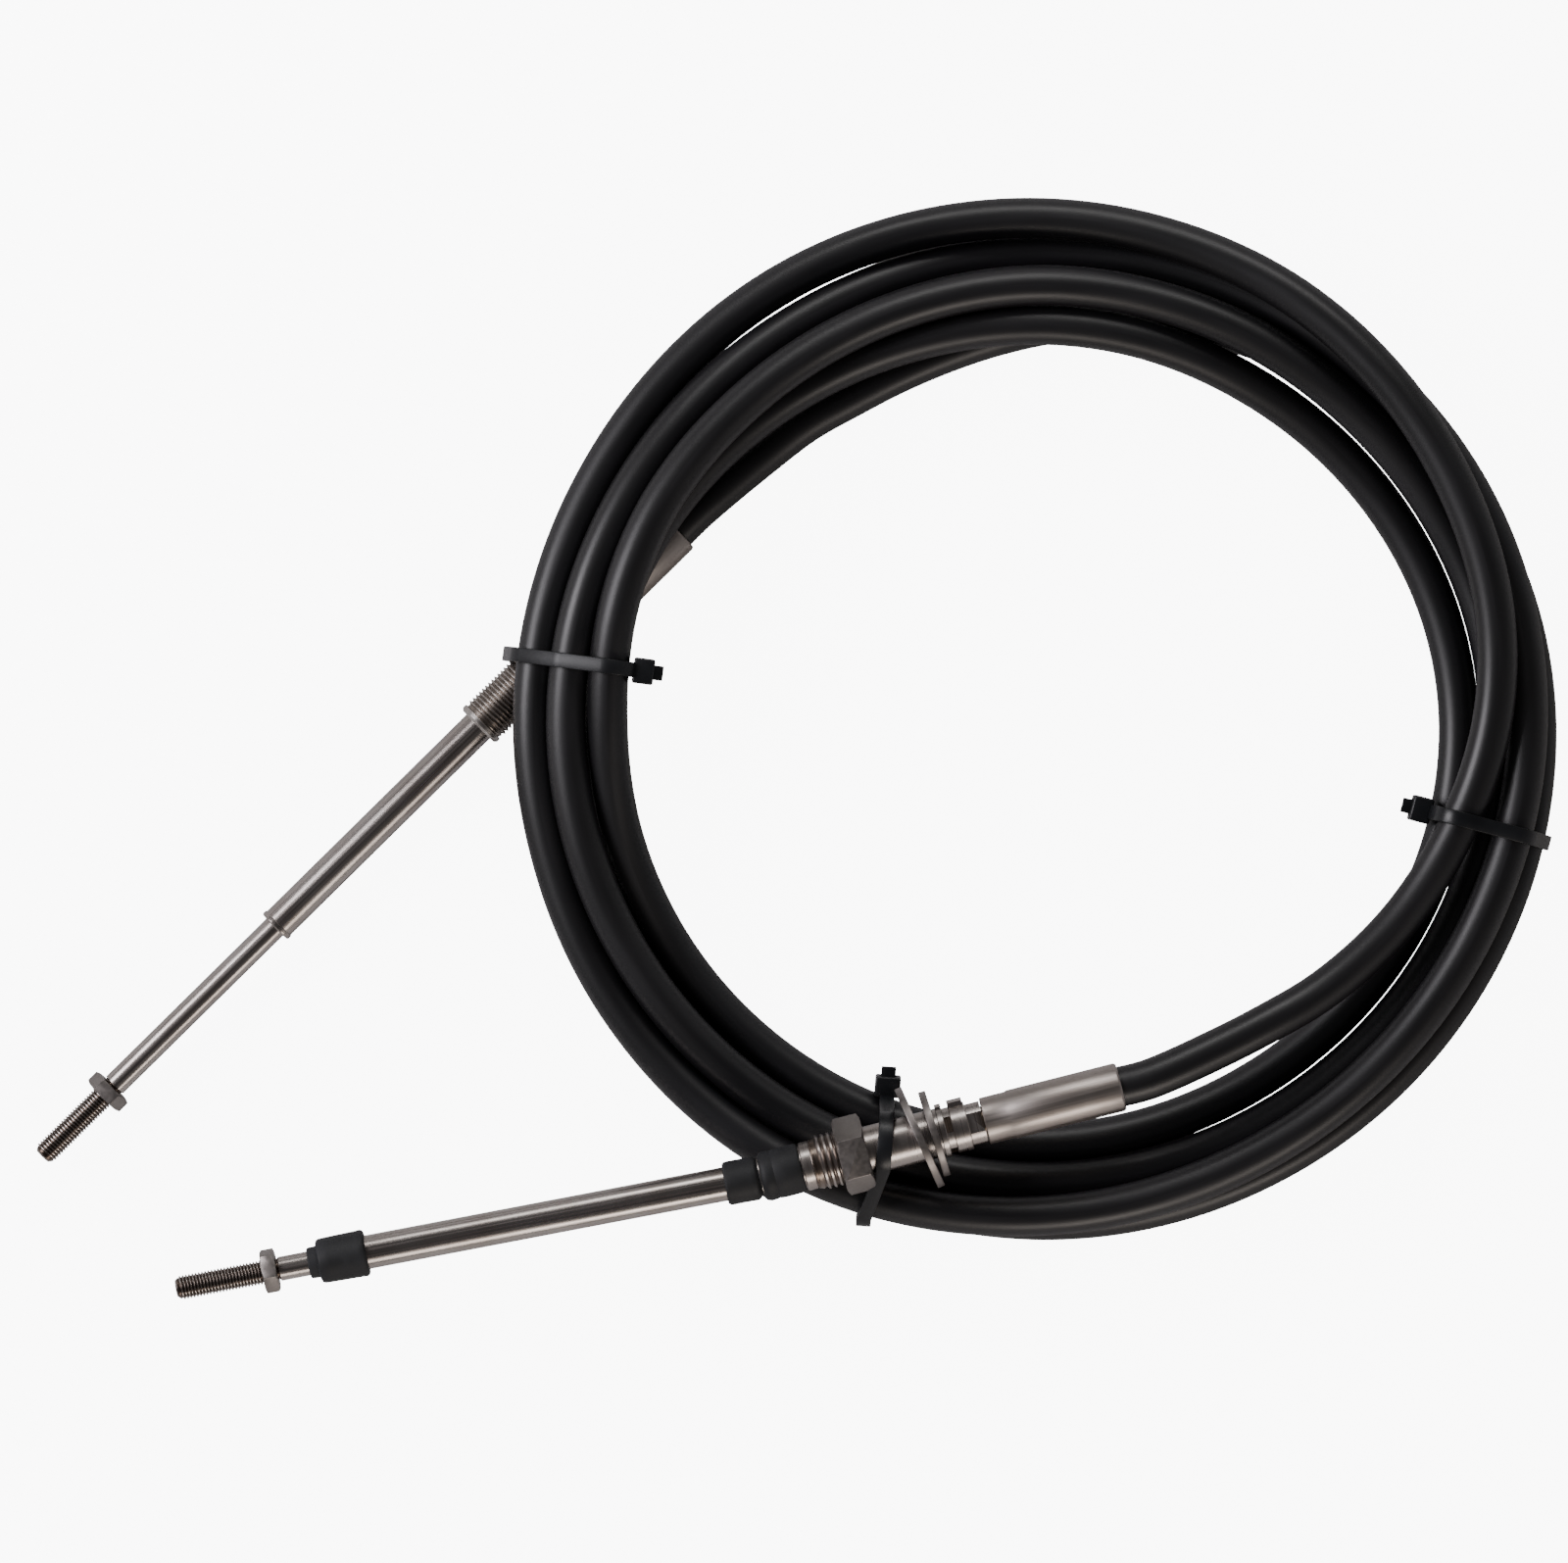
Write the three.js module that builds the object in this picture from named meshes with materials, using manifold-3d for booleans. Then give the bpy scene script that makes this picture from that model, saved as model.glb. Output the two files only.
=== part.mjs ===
import * as THREE from 'three';
import Module from 'manifold-3d';
import { mergeVertices } from 'three/addons/utils/BufferGeometryUtils.js';

const wasm = await Module();
wasm.setup();

// A coiled push-pull steering cable, lying flat and held by three cable ties.
// Millimetres, +Z up. X and Y run from the middle of the coil while the model is built.
// End A, with the panel fitting, lies on top of the coil. End B comes out from under it.

// General
const GAP = 0.3; // clearance between pieces that fit each other
const FACETS = 28; // facets round a turned piece
const BALL_FACETS = 8; // facets along a ball's outline
const SWING = 8; // degrees that a support tube turns each way on its ball
const WELD = 1e-4; // points closer than this are one

// Conduit
const CABLE_D = 13.2;
const CABLE_SIDES = 10;
const ROUTE_STEP = 7.5; // degrees between the points of the coil's curve
const SWEEP_STEPS = 300;
const LENGTH_STEPS = 4000; // steps that measure the length along the curve
const STRAIGHT_LEAD = 9; // straight stretch outside each crimp sleeve

// Rods and support tubes
const ROD_D = 7.94;
const ROD_CHAMFER = 1.2;
const TUBE_D = 11.1;
const TUBE_WALL = 1.25;
const LIP_D = 11.9; // rolled lip on the open end of tube B
const LIP_L = 1.6;

// Jam nuts and the hull nut
const JAM_NUT_AF = 12.7;
const JAM_NUT_H = 4.76;
const HULL_NUT_AF = 22.2;
const HULL_NUT_H = 9.5;
const CORNER_CHAMFER = 0.55; // how steeply a nut's corners are cut back
const FACE_INSET = 0.1; // how far the chamfer runs in past the flats

// Hubs and crimp sleeves, both ends
const HUB_D = 15.9;
const CORE_BORE = 5; // passage for the inner cable
const GROOVE_D = 13;
const SPIGOT_D = 10;
const SPIGOT_L = 8;
const SLEEVE_D = 16;
const SLEEVE_NECK_D = 15.4;
const SLEEVE_L = 36.6;
const SLEEVE_NECK_L = 9.2;
const SLEEVE_CHAMFER = 0.6;
const LIP_HOLD = 0.3; // how far the socket's lip reaches over the ball

// Swivels: what turns on the ball, and how the two axes lie
const END_A = { x: -87.8, y: -147.5, z: 39.1, hubAngle: 14.2, tubeAngle: 10.8 };
const END_B = { x: -178.2, y: 3.3, z: 10.3, hubAngle: 44.6, tubeAngle: 44.6 };
const BALL_A_D = 11.8;
const NECK_A_D = 10;
const NECK_A_L = 6;
const BALL_B_D = 13.4;

// Panel fitting of hub A, measured from its ball towards the cable
const SOCKET_A_FRONT = 3;
const SOCKET_A_WALL = 0.7;
const HUB_A_FRONT_D = BALL_A_D + 2 * (GAP + SOCKET_A_WALL);
const COLLAR_A = 11.2;
const COLLAR_A_L = 3.7;
const PANEL_THREAD_D = 18;
const PANEL_THREAD_PITCH = 2;
const PANEL_THREAD_DEPTH = 0.9;
const PANEL_THREAD_SLOPE = 0.35; // share of the pitch that each flank takes
const PANEL_THREAD_TURNS = 5;
const SHANK_A = 33.2; // where the plain shank behind the hull nut starts
const PLATE_D = 35;
const PLATE_T = 2.4;
const PLATE_AT = SHANK_A + 17.1;
const PLATE_LEAN = 10;
const PLATE_PLAY = 0.6;
const WASHER_D = 28.6;
const WASHER_T = 2.4;
const WASHER_AT = PLATE_AT + 4.9;
const WASHER_LEAN = 3;
const WASHER_PLAY = 0.35;
const RING_A = WASHER_AT + 2;
const RING_A_D = 17;
const RING_A_L = 2;
const RING_GROOVE_L = 2.2;
const KEY_RING_A = RING_A + RING_A_L + RING_GROOVE_L;
const KEY_RING_A_L = 5.3;
const HUB_A_L = KEY_RING_A + KEY_RING_A_L + 4.9;

// Hub B, measured from its front face towards the cable
const SOCKET_B_FRONT = 7; // from the front face to the ball's middle
const HUB_B_THREAD_L = 40.4;
const HUB_B_L = HUB_B_THREAD_L + 5;
const HUB_CHAMFER = 0.8;

// Rod side, distances from the middle of the ball
const TUBE_A_L = 146;
const ROD_A_REACH = 49.9; // from the tube's mouth to the rod's tip
const ROD_A_TIP = TUBE_A_L + ROD_A_REACH;
const ROD_A_INNER = 20;
const NUT_A_BACK = 33.4; // from the rod's tip to the nut
const NUT_A_AT = ROD_A_TIP - NUT_A_BACK;
const NUT_A_TURN = -14.5;
const TUBE_B_L = 100.5;
const ROD_B_REACH = 107;
const ROD_B_TIP = TUBE_B_L + ROD_B_REACH;
const ROD_B_INNER = TUBE_B_L - 16.5;
const NUT_B_BACK = 32.5;
const NUT_B_AT = ROD_B_TIP - NUT_B_BACK;
const NUT_B_TURN = 0;
const SEAL_AT = TUBE_A_L - 13.1;
const SEAL_L = 16;
const SEAL_D = 14.6;
const SEAL_BACK_D = 15.4;
const SEAL_NOSE_D = 10.4;
const SEAL_NOSE_L = 3.2;
const SEAL_ROUND = 1.2;
const BOOT_A_FRONT = 4.75;
const BOOT_A_FRONT_L = 9.9;
const BOOT_A_FRONT_D = 14.4;
const BOOT_A_REAR_D = 16.4;
const BOOT_NOTCH = 1.3; // how far the notch's sides lean back
const BOOT_REAR_REACH = 2.5; // how far the rear boot reaches past the ball

// Cable ties
const STRAP_W = 4.8;
const STRAP_T = 1.3;
const TIE_HEAD = { along: 6.6, wide: 8.4, out: 6.8 };
const TIE_TAIL_L = 3;
const TIE_REACH = 40; // how far from a loop's middle the tie gathers what passes
const STRAP_FACETS = 40;

// Each turn of the coil, from end A to end B: angle in degrees, radius and height of the middle
const TURNS = [
  [
    [-60, 121.3, 36.1], [-45, 126.5, 31.3], [-30, 133.4, 27.8], [-15, 140.2, 27.7],
    [0, 147.4, 31.0], [15, 152.4, 34.5], [30, 155.4, 35.6], [45, 158.5, 33.9],
    [60, 161.4, 29.4], [75, 163.0, 24.3], [90, 164.3, 20.5], [120, 165.6, 17.7],
    [150, 164.5, 22.3], [165, 164.6, 25.1], [180, 164.9, 24.6], [195, 165.0, 21.5],
    [210, 165.7, 19.7], [240, 165.6, 21.0], [270, 161.3, 22.7], [300, 158.1, 23.5],
    [330, 157.9, 23.8],
  ],
  [
    [0, 159.5, 23.6], [15, 160.0, 23.1], [30, 159.5, 22.6], [45, 158.2, 20.3],
    [60, 155.9, 16.4], [75, 154.3, 12.2], [90, 153.5, 10.6], [120, 152.0, 17.1],
    [150, 152.7, 30.4], [165, 153.4, 33.8], [172, 153.7, 33.6], [180, 153.9, 32.6],
    [195, 153.7, 29.2], [210, 153.2, 25.4], [225, 152.5, 21.8], [240, 151.6, 18.1],
    [255, 150.7, 15.4], [270, 150.7, 14.0], [300, 150.8, 11.9], [330, 151.4, 11.9],
  ],
  [
    [0, 150.9, 13.0], [15, 149.5, 14.5], [30, 147.0, 17.0], [45, 144.6, 20.2],
    [60, 143.4, 23.1], [75, 142.4, 25.1], [90, 142.0, 27.2], [105, 141.3, 28.6],
    [120, 141.0, 30.8], [135, 141.1, 34.8], [150, 142.0, 39.3], [165, 141.6, 40.7],
    [180, 140.4, 34.4], [195, 140.6, 23.4], [210, 140.4, 14.6], [240, 139.4, 8.9],
    [270, 138.4, 8.3], [300, 137.6, 8.2], [330, 138.3, 8.2],
  ],
  [
    [0, 138.1, 8.2], [15, 136.6, 8.2], [30, 134.2, 8.4], [45, 131.8, 10.2],
    [60, 130.0, 14.6], [75, 129.4, 19.9], [90, 129.4, 21.9], [105, 130.2, 20.7],
    [120, 132.3, 20.2], [135, 135.4, 22.3], [150, 139.3, 25.3], [165, 143.4, 24.7],
    [172, 146.4, 21.9], [180, 149.5, 18.1], [195, 153.6, 11.8], [210, 157.0, 8.9],
    [240, 161.0, 8.2], [270, 163.4, 8.3], [300, 164.2, 8.2], [330, 164.5, 8.2],
  ],
  [
    [0, 163.6, 8.2], [15, 161.6, 8.2], [30, 157.5, 8.2], [45, 151.6, 8.2],
    [60, 144.4, 8.2], [75, 136.8, 8.2], [90, 129.5, 8.2], [105, 124.2, 8.2],
    [120, 122.5, 8.2], [135, 125.0, 8.2],
  ],
];

// Each tie: a point in its loop's plane, the plane's direction, and where its head sits.
// The bottom tie goes round hub A, just behind the hull nut.
const TIES = {
  tie_left: { x: -148.8, y: 18.8, plane: 172.4, side: 180, slide: 0, slack: 0.9 },
  tie_right: { x: 146, y: -34.3, plane: -14.7, side: 176, slide: -7, slack: 0.2 },
  tie_bottom: { behindNut: 6.8, plane: 266, side: 172, slide: -4, slack: 0.4 },
};

// Materials

function material(color, roughness, metalness) {
  return new THREE.MeshStandardMaterial({ color, roughness, metalness });
}

const STEEL = { color: 0x8d8780, roughness: 0.32, metalness: 1 };
const JACKET = { color: 0x17171b, roughness: 0.42, metalness: 0 };
const RUBBER = { color: 0x141414, roughness: 0.7, metalness: 0 };
const NYLON = { color: 0x101012, roughness: 0.35, metalness: 0 };

function piece(name, geometry, finish) {
  const mesh = new THREE.Mesh(geometry, material(finish.color, finish.roughness, finish.metalness));
  mesh.name = name;
  return mesh;
}

// Shape helpers

function radians(degrees) {
  return THREE.MathUtils.degToRad(degrees);
}

// A turned solid about the X axis, from a closed outline of [x, radius] points
function turned(outline) {
  const points = outline.map(([x, radius]) => new THREE.Vector2(radius, x));
  if (THREE.ShapeUtils.area(points) < 0) {
    points.reverse();
  }
  if (points.some((point) => point.x === 0) === false) {
    points.push(points[0].clone());
  }
  return new THREE.LatheGeometry(points, FACETS).rotateZ(-Math.PI / 2);
}

// Points of a ball's outline about [0, 0], between two angles from the X axis
function arc(radius, from, to, steps) {
  const points = [];
  for (let i = 0; i <= steps; i += 1) {
    const angle = from + ((to - from) * i) / steps;
    points.push([radius * Math.cos(angle), radius * Math.sin(angle)]);
  }
  return points;
}

function toSolid(geometry) {
  const bare = geometry.clone();
  bare.deleteAttribute('normal');
  bare.deleteAttribute('uv');
  const merged = mergeVertices(bare, WELD);
  return new wasm.Manifold(
    new wasm.Mesh({
      numProp: 3,
      vertProperties: new Float32Array(merged.attributes.position.array),
      triVerts: new Uint32Array(merged.index.array),
    }),
  );
}

function toGeometry(solid) {
  const mesh = solid.getMesh();
  const geometry = new THREE.BufferGeometry();
  geometry.setAttribute('position', new THREE.BufferAttribute(mesh.vertProperties, 3));
  geometry.setIndex(new THREE.BufferAttribute(mesh.triVerts, 1));
  geometry.computeVertexNormals();
  return geometry;
}

// A hexagon nut along X, from x = 0, with its outer corners chamfered on both faces
function hexNut(acrossFlats, height, bore) {
  const corner = acrossFlats / 2 / Math.cos(Math.PI / 6);
  const outline = new THREE.Shape();
  for (let i = 0; i < 6; i += 1) {
    const angle = (i * Math.PI) / 3;
    const point = [corner * Math.cos(angle), corner * Math.sin(angle)];
    if (i === 0) {
      outline.moveTo(...point);
    } else {
      outline.lineTo(...point);
    }
  }
  const hole = new THREE.Path();
  hole.absarc(0, 0, bore / 2, 0, 2 * Math.PI, true);
  outline.holes.push(hole);
  const prism = new THREE.ExtrudeGeometry(outline, {
    depth: height, bevelEnabled: false, curveSegments: FACETS / 2,
  });
  prism.rotateY(Math.PI / 2);
  const faceR = acrossFlats / 2 - FACE_INSET;
  const slope = (corner - faceR) * CORNER_CHAMFER;
  const outside = corner + GAP;
  const envelope = turned([
    [0, 0], [0, faceR], [slope, outside],
    [height - slope, outside], [height, faceR], [height, 0],
  ]);
  return toGeometry(toSolid(prism).intersect(toSolid(envelope)));
}

// Rod side, built outwards along +X from the middle of the ball

// A tube with its ball at one end, the neck beside it, and a lip at the other end
function supportTube(ballD, neck, length, lip) {
  const bore = TUBE_D / 2 - TUBE_WALL;
  const ball = ballD / 2;
  const back = Math.PI - Math.asin((bore + TUBE_WALL / 2) / ball);
  const front = Math.asin(neck.diameter / 2 / ball);
  return turned([
    [ball * Math.cos(back), bore],
    ...arc(ball, back, front, BALL_FACETS),
    [neck.length, neck.diameter / 2],
    [neck.length + GAP, TUBE_D / 2],
    [length - lip.length, TUBE_D / 2],
    [length - lip.length, lip.diameter / 2],
    [length, lip.diameter / 2],
    [length, bore],
  ]);
}

function rod(inner, tip) {
  const radius = ROD_D / 2;
  return turned([
    [inner, 0], [inner, radius],
    [tip - ROD_CHAMFER, radius], [tip, radius - ROD_CHAMFER], [tip, 0],
  ]);
}

function rodSeal() {
  const overTube = TUBE_D / 2 + GAP;
  const overRod = ROD_D / 2 + GAP;
  const shoulder = TUBE_A_L + GAP;
  const face = SEAL_AT + SEAL_L;
  return turned([
    [SEAL_AT, overTube],
    [SEAL_AT, SEAL_BACK_D / 2 - SEAL_ROUND],
    [SEAL_AT + SEAL_ROUND, SEAL_BACK_D / 2],
    [face - SEAL_ROUND, SEAL_D / 2],
    [face, SEAL_D / 2 - SEAL_ROUND],
    [face, SEAL_NOSE_D / 2],
    [face + SEAL_NOSE_L, SEAL_NOSE_D / 2],
    [face + SEAL_NOSE_L, overRod],
    [shoulder, overRod],
    [shoulder, overTube],
  ]);
}

// Half of the rubber boot over swivel A that goes with the tube
function frontBoot() {
  const end = BOOT_A_FRONT + BOOT_A_FRONT_L;
  const bore = TUBE_D / 2 + GAP;
  return turned([
    [BOOT_A_FRONT, bore], [BOOT_A_FRONT + BOOT_NOTCH, BOOT_A_FRONT_D / 2],
    [end, BOOT_A_FRONT_D / 2 - GAP], [end, bore],
  ]);
}

// Hub side, built towards the cable along +X

// The ball's socket: outline points from the front opening back to the passage
function socket(ballD, neckD, front) {
  const ball = ballD / 2;
  const cavity = ball + GAP;
  const lip = ball - LIP_HOLD;
  const swing = radians(SWING);
  const opening = neckD / 2 / Math.cos(swing) + front * Math.tan(swing) + GAP;
  const lipAngle = Math.PI - Math.asin(lip / cavity);
  const backAngle = Math.asin(CORE_BORE / 2 / cavity);
  return [...arc(cavity, backAngle, lipAngle, BALL_FACETS), [-front, opening]];
}

function panelThread(start) {
  const crest = PANEL_THREAD_D / 2;
  const root = crest - PANEL_THREAD_DEPTH;
  const flank = PANEL_THREAD_PITCH * PANEL_THREAD_SLOPE;
  const points = [];
  for (let i = 0; i < PANEL_THREAD_TURNS; i += 1) {
    const x = start + i * PANEL_THREAD_PITCH;
    points.push([x, root], [x + flank, crest], [x + PANEL_THREAD_PITCH - flank, crest]);
  }
  return points;
}

function hubA() {
  const groove = GROOVE_D / 2;
  const threadStart = COLLAR_A + COLLAR_A_L;
  const threadEnd = threadStart + PANEL_THREAD_TURNS * PANEL_THREAD_PITCH;
  return turned([
    ...socket(BALL_A_D, NECK_A_D, SOCKET_A_FRONT),
    [-SOCKET_A_FRONT, HUB_A_FRONT_D / 2],
    [COLLAR_A, HUB_A_FRONT_D / 2],
    [COLLAR_A, HUB_D / 2],
    [threadStart - GAP, HUB_D / 2],
    ...panelThread(threadStart),
    [threadEnd, PANEL_THREAD_D / 2 - PANEL_THREAD_DEPTH],
    [threadEnd + GAP, PANEL_THREAD_D / 2],
    [SHANK_A, PANEL_THREAD_D / 2],
    [SHANK_A, HUB_D / 2],
    [RING_A, HUB_D / 2],
    [RING_A, RING_A_D / 2],
    [RING_A + RING_A_L, RING_A_D / 2],
    [RING_A + RING_A_L, groove],
    [KEY_RING_A, groove],
    [KEY_RING_A, SLEEVE_D / 2],
    [KEY_RING_A + KEY_RING_A_L, SLEEVE_D / 2],
    [KEY_RING_A + KEY_RING_A_L, groove],
    [HUB_A_L, groove],
    [HUB_A_L, SPIGOT_D / 2],
    [HUB_A_L + SPIGOT_L, SPIGOT_D / 2],
    [HUB_A_L + SPIGOT_L, CORE_BORE / 2],
  ]);
}

function hubB() {
  const groove = GROOVE_D / 2;
  const front = -SOCKET_B_FRONT;
  const threadEnd = front + HUB_B_THREAD_L;
  const end = front + HUB_B_L;
  return turned([
    ...socket(BALL_B_D, TUBE_D, SOCKET_B_FRONT),
    [front, HUB_D / 2 - HUB_CHAMFER],
    [front + HUB_CHAMFER, HUB_D / 2],
    [threadEnd, HUB_D / 2],
    [threadEnd, groove],
    [end, groove],
    [end, SPIGOT_D / 2],
    [end + SPIGOT_L, SPIGOT_D / 2],
    [end + SPIGOT_L, CORE_BORE / 2],
  ]);
}

// The crimped sleeve that takes the hub's spigot in its neck and the conduit in its body
function crimpSleeve(start) {
  const neckBore = SPIGOT_D / 2 + GAP;
  const body = start + SLEEVE_NECK_L;
  const end = body + SLEEVE_L;
  const cableBore = CABLE_D / 2 + GAP;
  return turned([
    [start, neckBore],
    [start, SLEEVE_NECK_D / 2],
    [body - SLEEVE_CHAMFER, SLEEVE_NECK_D / 2],
    [body, SLEEVE_D / 2],
    [end - SLEEVE_CHAMFER, SLEEVE_D / 2],
    [end, SLEEVE_D / 2 - SLEEVE_CHAMFER],
    [end, cableBore],
    [body, cableBore],
    [body, neckBore],
  ]);
}

function rearBoot() {
  const bore = HUB_A_FRONT_D / 2 + GAP;
  const end = COLLAR_A - GAP;
  return turned([
    [-BOOT_REAR_REACH, bore], [BOOT_NOTCH - BOOT_REAR_REACH, BOOT_A_REAR_D / 2],
    [end - GAP, BOOT_A_REAR_D / 2], [end, HUB_D / 2], [end, bore],
  ]);
}

// A round plate with a hole, leaning on the hub that passes through it
function leaningPlate(outerD, thickness, lean, play) {
  const half = thickness / 2;
  const bore = HUB_D / 2 / Math.cos(radians(lean)) + half * Math.tan(radians(lean)) + play;
  return turned([[-half, bore], [-half, outerD / 2], [half, outerD / 2], [half, bore]])
    .rotateZ(radians(lean));
}

// Route of the conduit

const SLEEVE_A_START = HUB_A_L + GAP;
const SLEEVE_B_START = HUB_B_L - SOCKET_B_FRONT + GAP;

// A point on an end's hub axis, a distance from its ball
function onHubAxis(end, distance) {
  const angle = radians(end.hubAngle);
  const x = end.x + distance * Math.cos(angle);
  const y = end.y + distance * Math.sin(angle);
  return new THREE.Vector3(x, y, end.z);
}

// The straight stretch inside a crimp sleeve and just outside it, from the inner end outwards
function straightStretch(end, sleeveStart) {
  const inner = sleeveStart + SLEEVE_NECK_L + GAP;
  const mouth = inner - GAP + SLEEVE_L;
  return [inner, (inner + mouth) / 2, mouth, mouth + STRAIGHT_LEAD].map((x) => onHubAxis(end, x));
}

const STATION_ANGLES = TURNS.flatMap((turn, i) => turn.map(([angle]) => angle + 360 * i));
const STATION_VALUES = TURNS.flat().flatMap(([, radius, height]) => [radius, height]);
const STATIONS = new THREE.CubicInterpolant(STATION_ANGLES, STATION_VALUES, 2);
const COIL_START = STATION_ANGLES[0];
const COIL_END = STATION_ANGLES[STATION_ANGLES.length - 1];

function coilPoint(angle) {
  const [radius, height] = STATIONS.evaluate(angle);
  const turn = radians(angle);
  return new THREE.Vector3(radius * Math.cos(turn), radius * Math.sin(turn), height);
}

function cableCurve() {
  const steps = Math.round((COIL_END - COIL_START) / ROUTE_STEP);
  const coil = [];
  for (let i = 0; i <= steps; i += 1) {
    coil.push(coilPoint(COIL_START + ((COIL_END - COIL_START) * i) / steps));
  }
  const points = [
    ...straightStretch(END_A, SLEEVE_A_START),
    ...coil,
    ...straightStretch(END_B, SLEEVE_B_START).reverse(),
  ];
  const curve = new THREE.CatmullRomCurve3(points, false, 'centripetal');
  curve.arcLengthDivisions = LENGTH_STEPS;
  return curve;
}

function conduit() {
  const section = new THREE.Shape();
  section.absarc(0, 0, CABLE_D / 2, 0, 2 * Math.PI, false);
  return new THREE.ExtrudeGeometry(section, {
    extrudePath: cableCurve(),
    steps: SWEEP_STEPS,
    curveSegments: CABLE_SIDES / 2,
    bevelEnabled: false,
  });
}

// Cable ties

function tieMiddle(tie) {
  if (tie.behindNut) {
    return onHubAxis(END_A, SHANK_A + tie.behindNut).setZ(0);
  }
  return new THREE.Vector3(tie.x, tie.y, 0);
}

// What a tie holds, cut by its upright plane: [along the plane, height, half width, half height]
function heldSections(tie) {
  const plane = radians(tie.plane);
  const along = new THREE.Vector3(Math.cos(plane), Math.sin(plane), 0);
  const across = new THREE.Vector3(-Math.sin(plane), Math.cos(plane), 0);
  const middle = tieMiddle(tie);
  const sections = [];
  const cut = (point, direction, radius) => {
    const slant = Math.acos(Math.min(1, Math.abs(direction.dot(across))));
    const halfWidth = radius / Math.cos(slant) + (STRAP_W / 2) * Math.tan(slant);
    sections.push([point.clone().sub(middle).dot(along), point.z, halfWidth, radius]);
  };
  const crossing = (from, to, radius) => {
    const before = from.clone().sub(middle).dot(across);
    const after = to.clone().sub(middle).dot(across);
    const point = from.clone().lerp(to, before / (before - after));
    const near = point.clone().setZ(0).distanceTo(middle) < TIE_REACH;
    if (before * after < 0 && near) {
      cut(point, to.clone().sub(from).setZ(0).normalize(), radius);
    }
  };
  for (let angle = COIL_START; angle < COIL_END; angle += 1) {
    crossing(coilPoint(angle), coilPoint(angle + 1), CABLE_D / 2);
  }
  for (const end of [END_A, END_B]) {
    crossing(onHubAxis(end, 0), onHubAxis(end, HUB_A_L), HUB_D / 2);
  }
  return sections;
}

// The point of a taut loop round the sections, on its side that faces a direction
function loopPoint(sections, direction, offset) {
  const [c, s] = [Math.cos(direction), Math.sin(direction)];
  let best = { reach: -Infinity };
  for (const [u, z, halfWidth, halfHeight] of sections) {
    const support = Math.hypot(halfWidth * c, halfHeight * s);
    const reach = u * c + z * s + support;
    if (reach > best.reach) {
      const x = u + (halfWidth * halfWidth * c) / support + offset * c;
      const y = z + (halfHeight * halfHeight * s) / support + offset * s;
      best = { reach, x, y };
    }
  }
  return new THREE.Vector2(best.x, best.y);
}

function loopOutline(sections, offset) {
  const points = [];
  for (let i = 0; i < STRAP_FACETS; i += 1) {
    points.push(loopPoint(sections, (2 * Math.PI * i) / STRAP_FACETS, offset));
  }
  return points;
}

function block(along, wide, out, x, y) {
  return new THREE.BoxGeometry(out, along, wide).translate(x, y, 0);
}

// A strap loop in its own XY plane, with its ratchet head on the side of the coil's middle
function cableTie(tie) {
  const sections = heldSections(tie);
  const inner = GAP + tie.slack;
  const strap = new THREE.Shape(loopOutline(sections, inner + STRAP_T));
  strap.holes.push(new THREE.Path(loopOutline(sections, inner).reverse()));
  const loop = new THREE.ExtrudeGeometry(strap, { depth: STRAP_W, bevelEnabled: false });
  loop.translate(0, 0, -STRAP_W / 2);
  const side = radians(tie.side);
  const seat = loopPoint(sections, side, inner);
  const head = block(TIE_HEAD.along, TIE_HEAD.wide, TIE_HEAD.out, TIE_HEAD.out / 2, tie.slide);
  const tail = block(STRAP_T, STRAP_W, TIE_TAIL_L * 2, TIE_HEAD.out, tie.slide);
  const place = (geometry) => toSolid(geometry.rotateZ(side).translate(seat.x, seat.y, 0));
  const solid = toSolid(loop).add(place(head)).add(place(tail));
  const geometry = toGeometry(solid);
  geometry.rotateX(Math.PI / 2).rotateZ(radians(tie.plane));
  const middle = tieMiddle(tie);
  return geometry.translate(middle.x, middle.y, 0);
}

// Assembly

function endGroup(end, angle) {
  const group = new THREE.Group();
  group.position.set(end.x, end.y, end.z);
  group.rotation.z = radians(angle);
  return group;
}

function jamNut(name, at, turn) {
  const nut = piece(name, hexNut(JAM_NUT_AF, JAM_NUT_H, ROD_D + 2 * GAP), STEEL);
  nut.position.x = at;
  nut.rotation.x = radians(turn);
  return nut;
}

function rodSideA() {
  const side = endGroup(END_A, END_A.tubeAngle + 180);
  const neck = { diameter: NECK_A_D, length: NECK_A_L };
  const tube = supportTube(BALL_A_D, neck, TUBE_A_L, { diameter: TUBE_D, length: 0 });
  side.add(piece('support_tube_a', tube, STEEL));
  side.add(piece('rod_a', rod(ROD_A_INNER, ROD_A_TIP), STEEL));
  side.add(jamNut('jam_nut_a', NUT_A_AT, NUT_A_TURN));
  side.add(piece('rod_seal_a', rodSeal(), RUBBER));
  side.add(piece('boot_front_a', frontBoot(), RUBBER));
  return side;
}

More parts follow.
